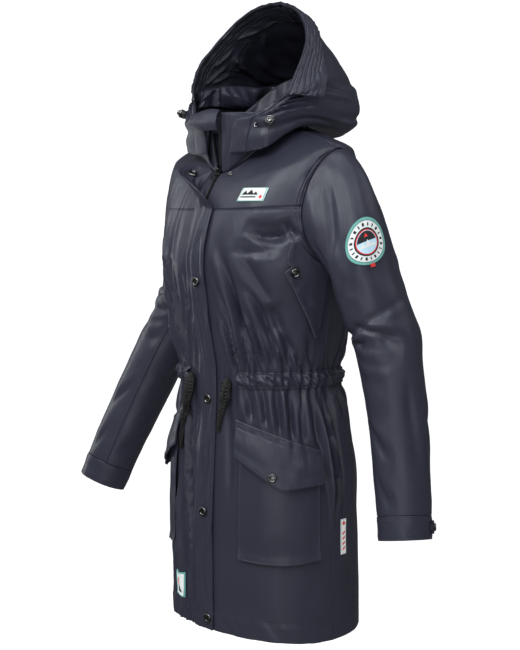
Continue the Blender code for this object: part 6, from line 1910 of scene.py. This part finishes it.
BADGE_RINGS = (
    # colour, lift in steps, and outer and inner radius as shares of the badge's
    ("teal", 0, 1.00, 0.88), ("ink", 1, 0.885, 0.865), ("white", 1, 0.87, 0.58), ("ink", 2, 0.60, 0.52),
    ("red", 2, 0.535, 0.49), ("sky", 2, 0.50, 0.00),
)


def badge_place(first, second, lift):
    """A place on the sleeve badge: towards the arm's front, and upwards, in shares of its radius."""
    turn = BADGE_TURN - np.asarray(first, float) * BADGE_REACH[0] * BADGE_STRETCH
    row = BADGE_ROW - np.asarray(second, float) * BADGE_REACH[1]
    point, normal = sleeve_cloth(LEFT_SLEEVE, 1, turn, row)
    return point + normal * (PATCH_LIFT + PATCH_CLOTH + lift)


def badge_reach():
    """Degrees and rows of the sleeve that make one radius of the badge."""
    place = sleeve(LEFT_SLEEVE, BADGE_TURN, BADGE_ROW)
    a_degree = np.linalg.norm(sleeve(LEFT_SLEEVE, BADGE_TURN + 1, BADGE_ROW) - place)
    a_row = np.linalg.norm(sleeve(LEFT_SLEEVE, BADGE_TURN, BADGE_ROW + 0.1) - place) / 0.1
    return BADGE_RADIUS / a_degree, BADGE_RADIUS / a_row


def make_sleeve_badge():
    """The round badge on the left sleeve, with a plain design of rings, ticks, hills and a small red tab."""
    steps, start = 64, len(ART)
    angle = turns(steps)
    for colour, lift, outer, inner in BADGE_RINGS:
        radii = np.linspace(outer, inner, 4 if inner else 7)
        points = badge_place(radii[:, None] * np.cos(angle), radii[:, None] * np.sin(angle), ART_STEP * lift)
        ART.append((colour, points.reshape(-1, 3), grid_faces(len(radii), steps, 0, True, True).tolist()))
    back = np.linspace(BADGE_FOOT, 0, 7)[:, None]
    below = badge_place(back * np.cos(angle), back * np.sin(angle), -PATCH_CLOTH)
    ART.append(("teal", below.reshape(-1, 3), grid_faces(len(back), steps, 0, True, False).tolist()))
    top = badge_place(np.cos(angle)[None], np.sin(angle)[None], 0.0)
    rim = np.concatenate([below[:1], top])
    ART.append(("teal", rim.reshape(-1, 3), grid_faces(2, steps, 0, True, True).tolist()))
    for tick in turns(20):
        wide = 0.030 if round(tick * 10) % 2 else 0.050
        along, aside = np.array([math.cos(tick), math.sin(tick)]), np.array([-math.sin(tick), math.cos(tick)])
        corners = (0.66, -wide), (0.80, -wide), (0.80, wide), (0.66, wide)
        add_art("ink", [along * at + aside * off for at, off in corners], badge_place, 2)
    night = [(0.47 * math.cos(a), 0.47 * math.sin(a)) for a in np.linspace(0.12, math.pi - 0.12, 14)]
    add_art("ink", night, badge_place, 3)
    for middle, high in ((-0.24, 0.02), (0.02, 0.12), (0.26, -0.02)):
        add_art("white", ((middle - 0.17, -0.20), (middle, high), (middle + 0.17, -0.20)), badge_place, 4)
    add_art("red", ((-0.10, 0.24), (0.10, 0.24), (0.0, 0.38)), badge_place, 4)
    half, end = BADGE_TAB
    add_art("red", oblong(-half, -end, half, -0.98), badge_place, 3)
    piece = make_art("sleeve_badge", ART[start:], ("sleeve_badge",))
    del ART[start:]


def make_art(name, shapes, nodes=()):
    """Flat shapes as one piece."""
    points, faces = gathered([(some, theirs) for _, some, theirs in shapes])
    kinds = [colour for colour, _, theirs in shapes for _ in theirs]
    return make_piece(name, points, faces, "white", nodes, slot="patch", kinds=kinds)


MADE = {name: make_material(name, *look) for name, look in MATERIALS.items()}
make_camera()
make_waist_cords()
make_hood_cords()
BADGE_REACH = badge_reach()
make_lights()
make_floor()
make_panels()
make_back()
make_casing()
make_sleeves()
make_hood()
make_collar()
make_zip()
make_slider()
make_flap()
make_pockets()
make_patches()
make_sleeve_badge()
make_snaps()
make_stitching()
make_art("patch_art", ART)
make_piece("piping", *gathered(BEADS), "piping", slot="shell")
make_piece("eyelets", *gathered(EYELETS), "steel", slot="metal")
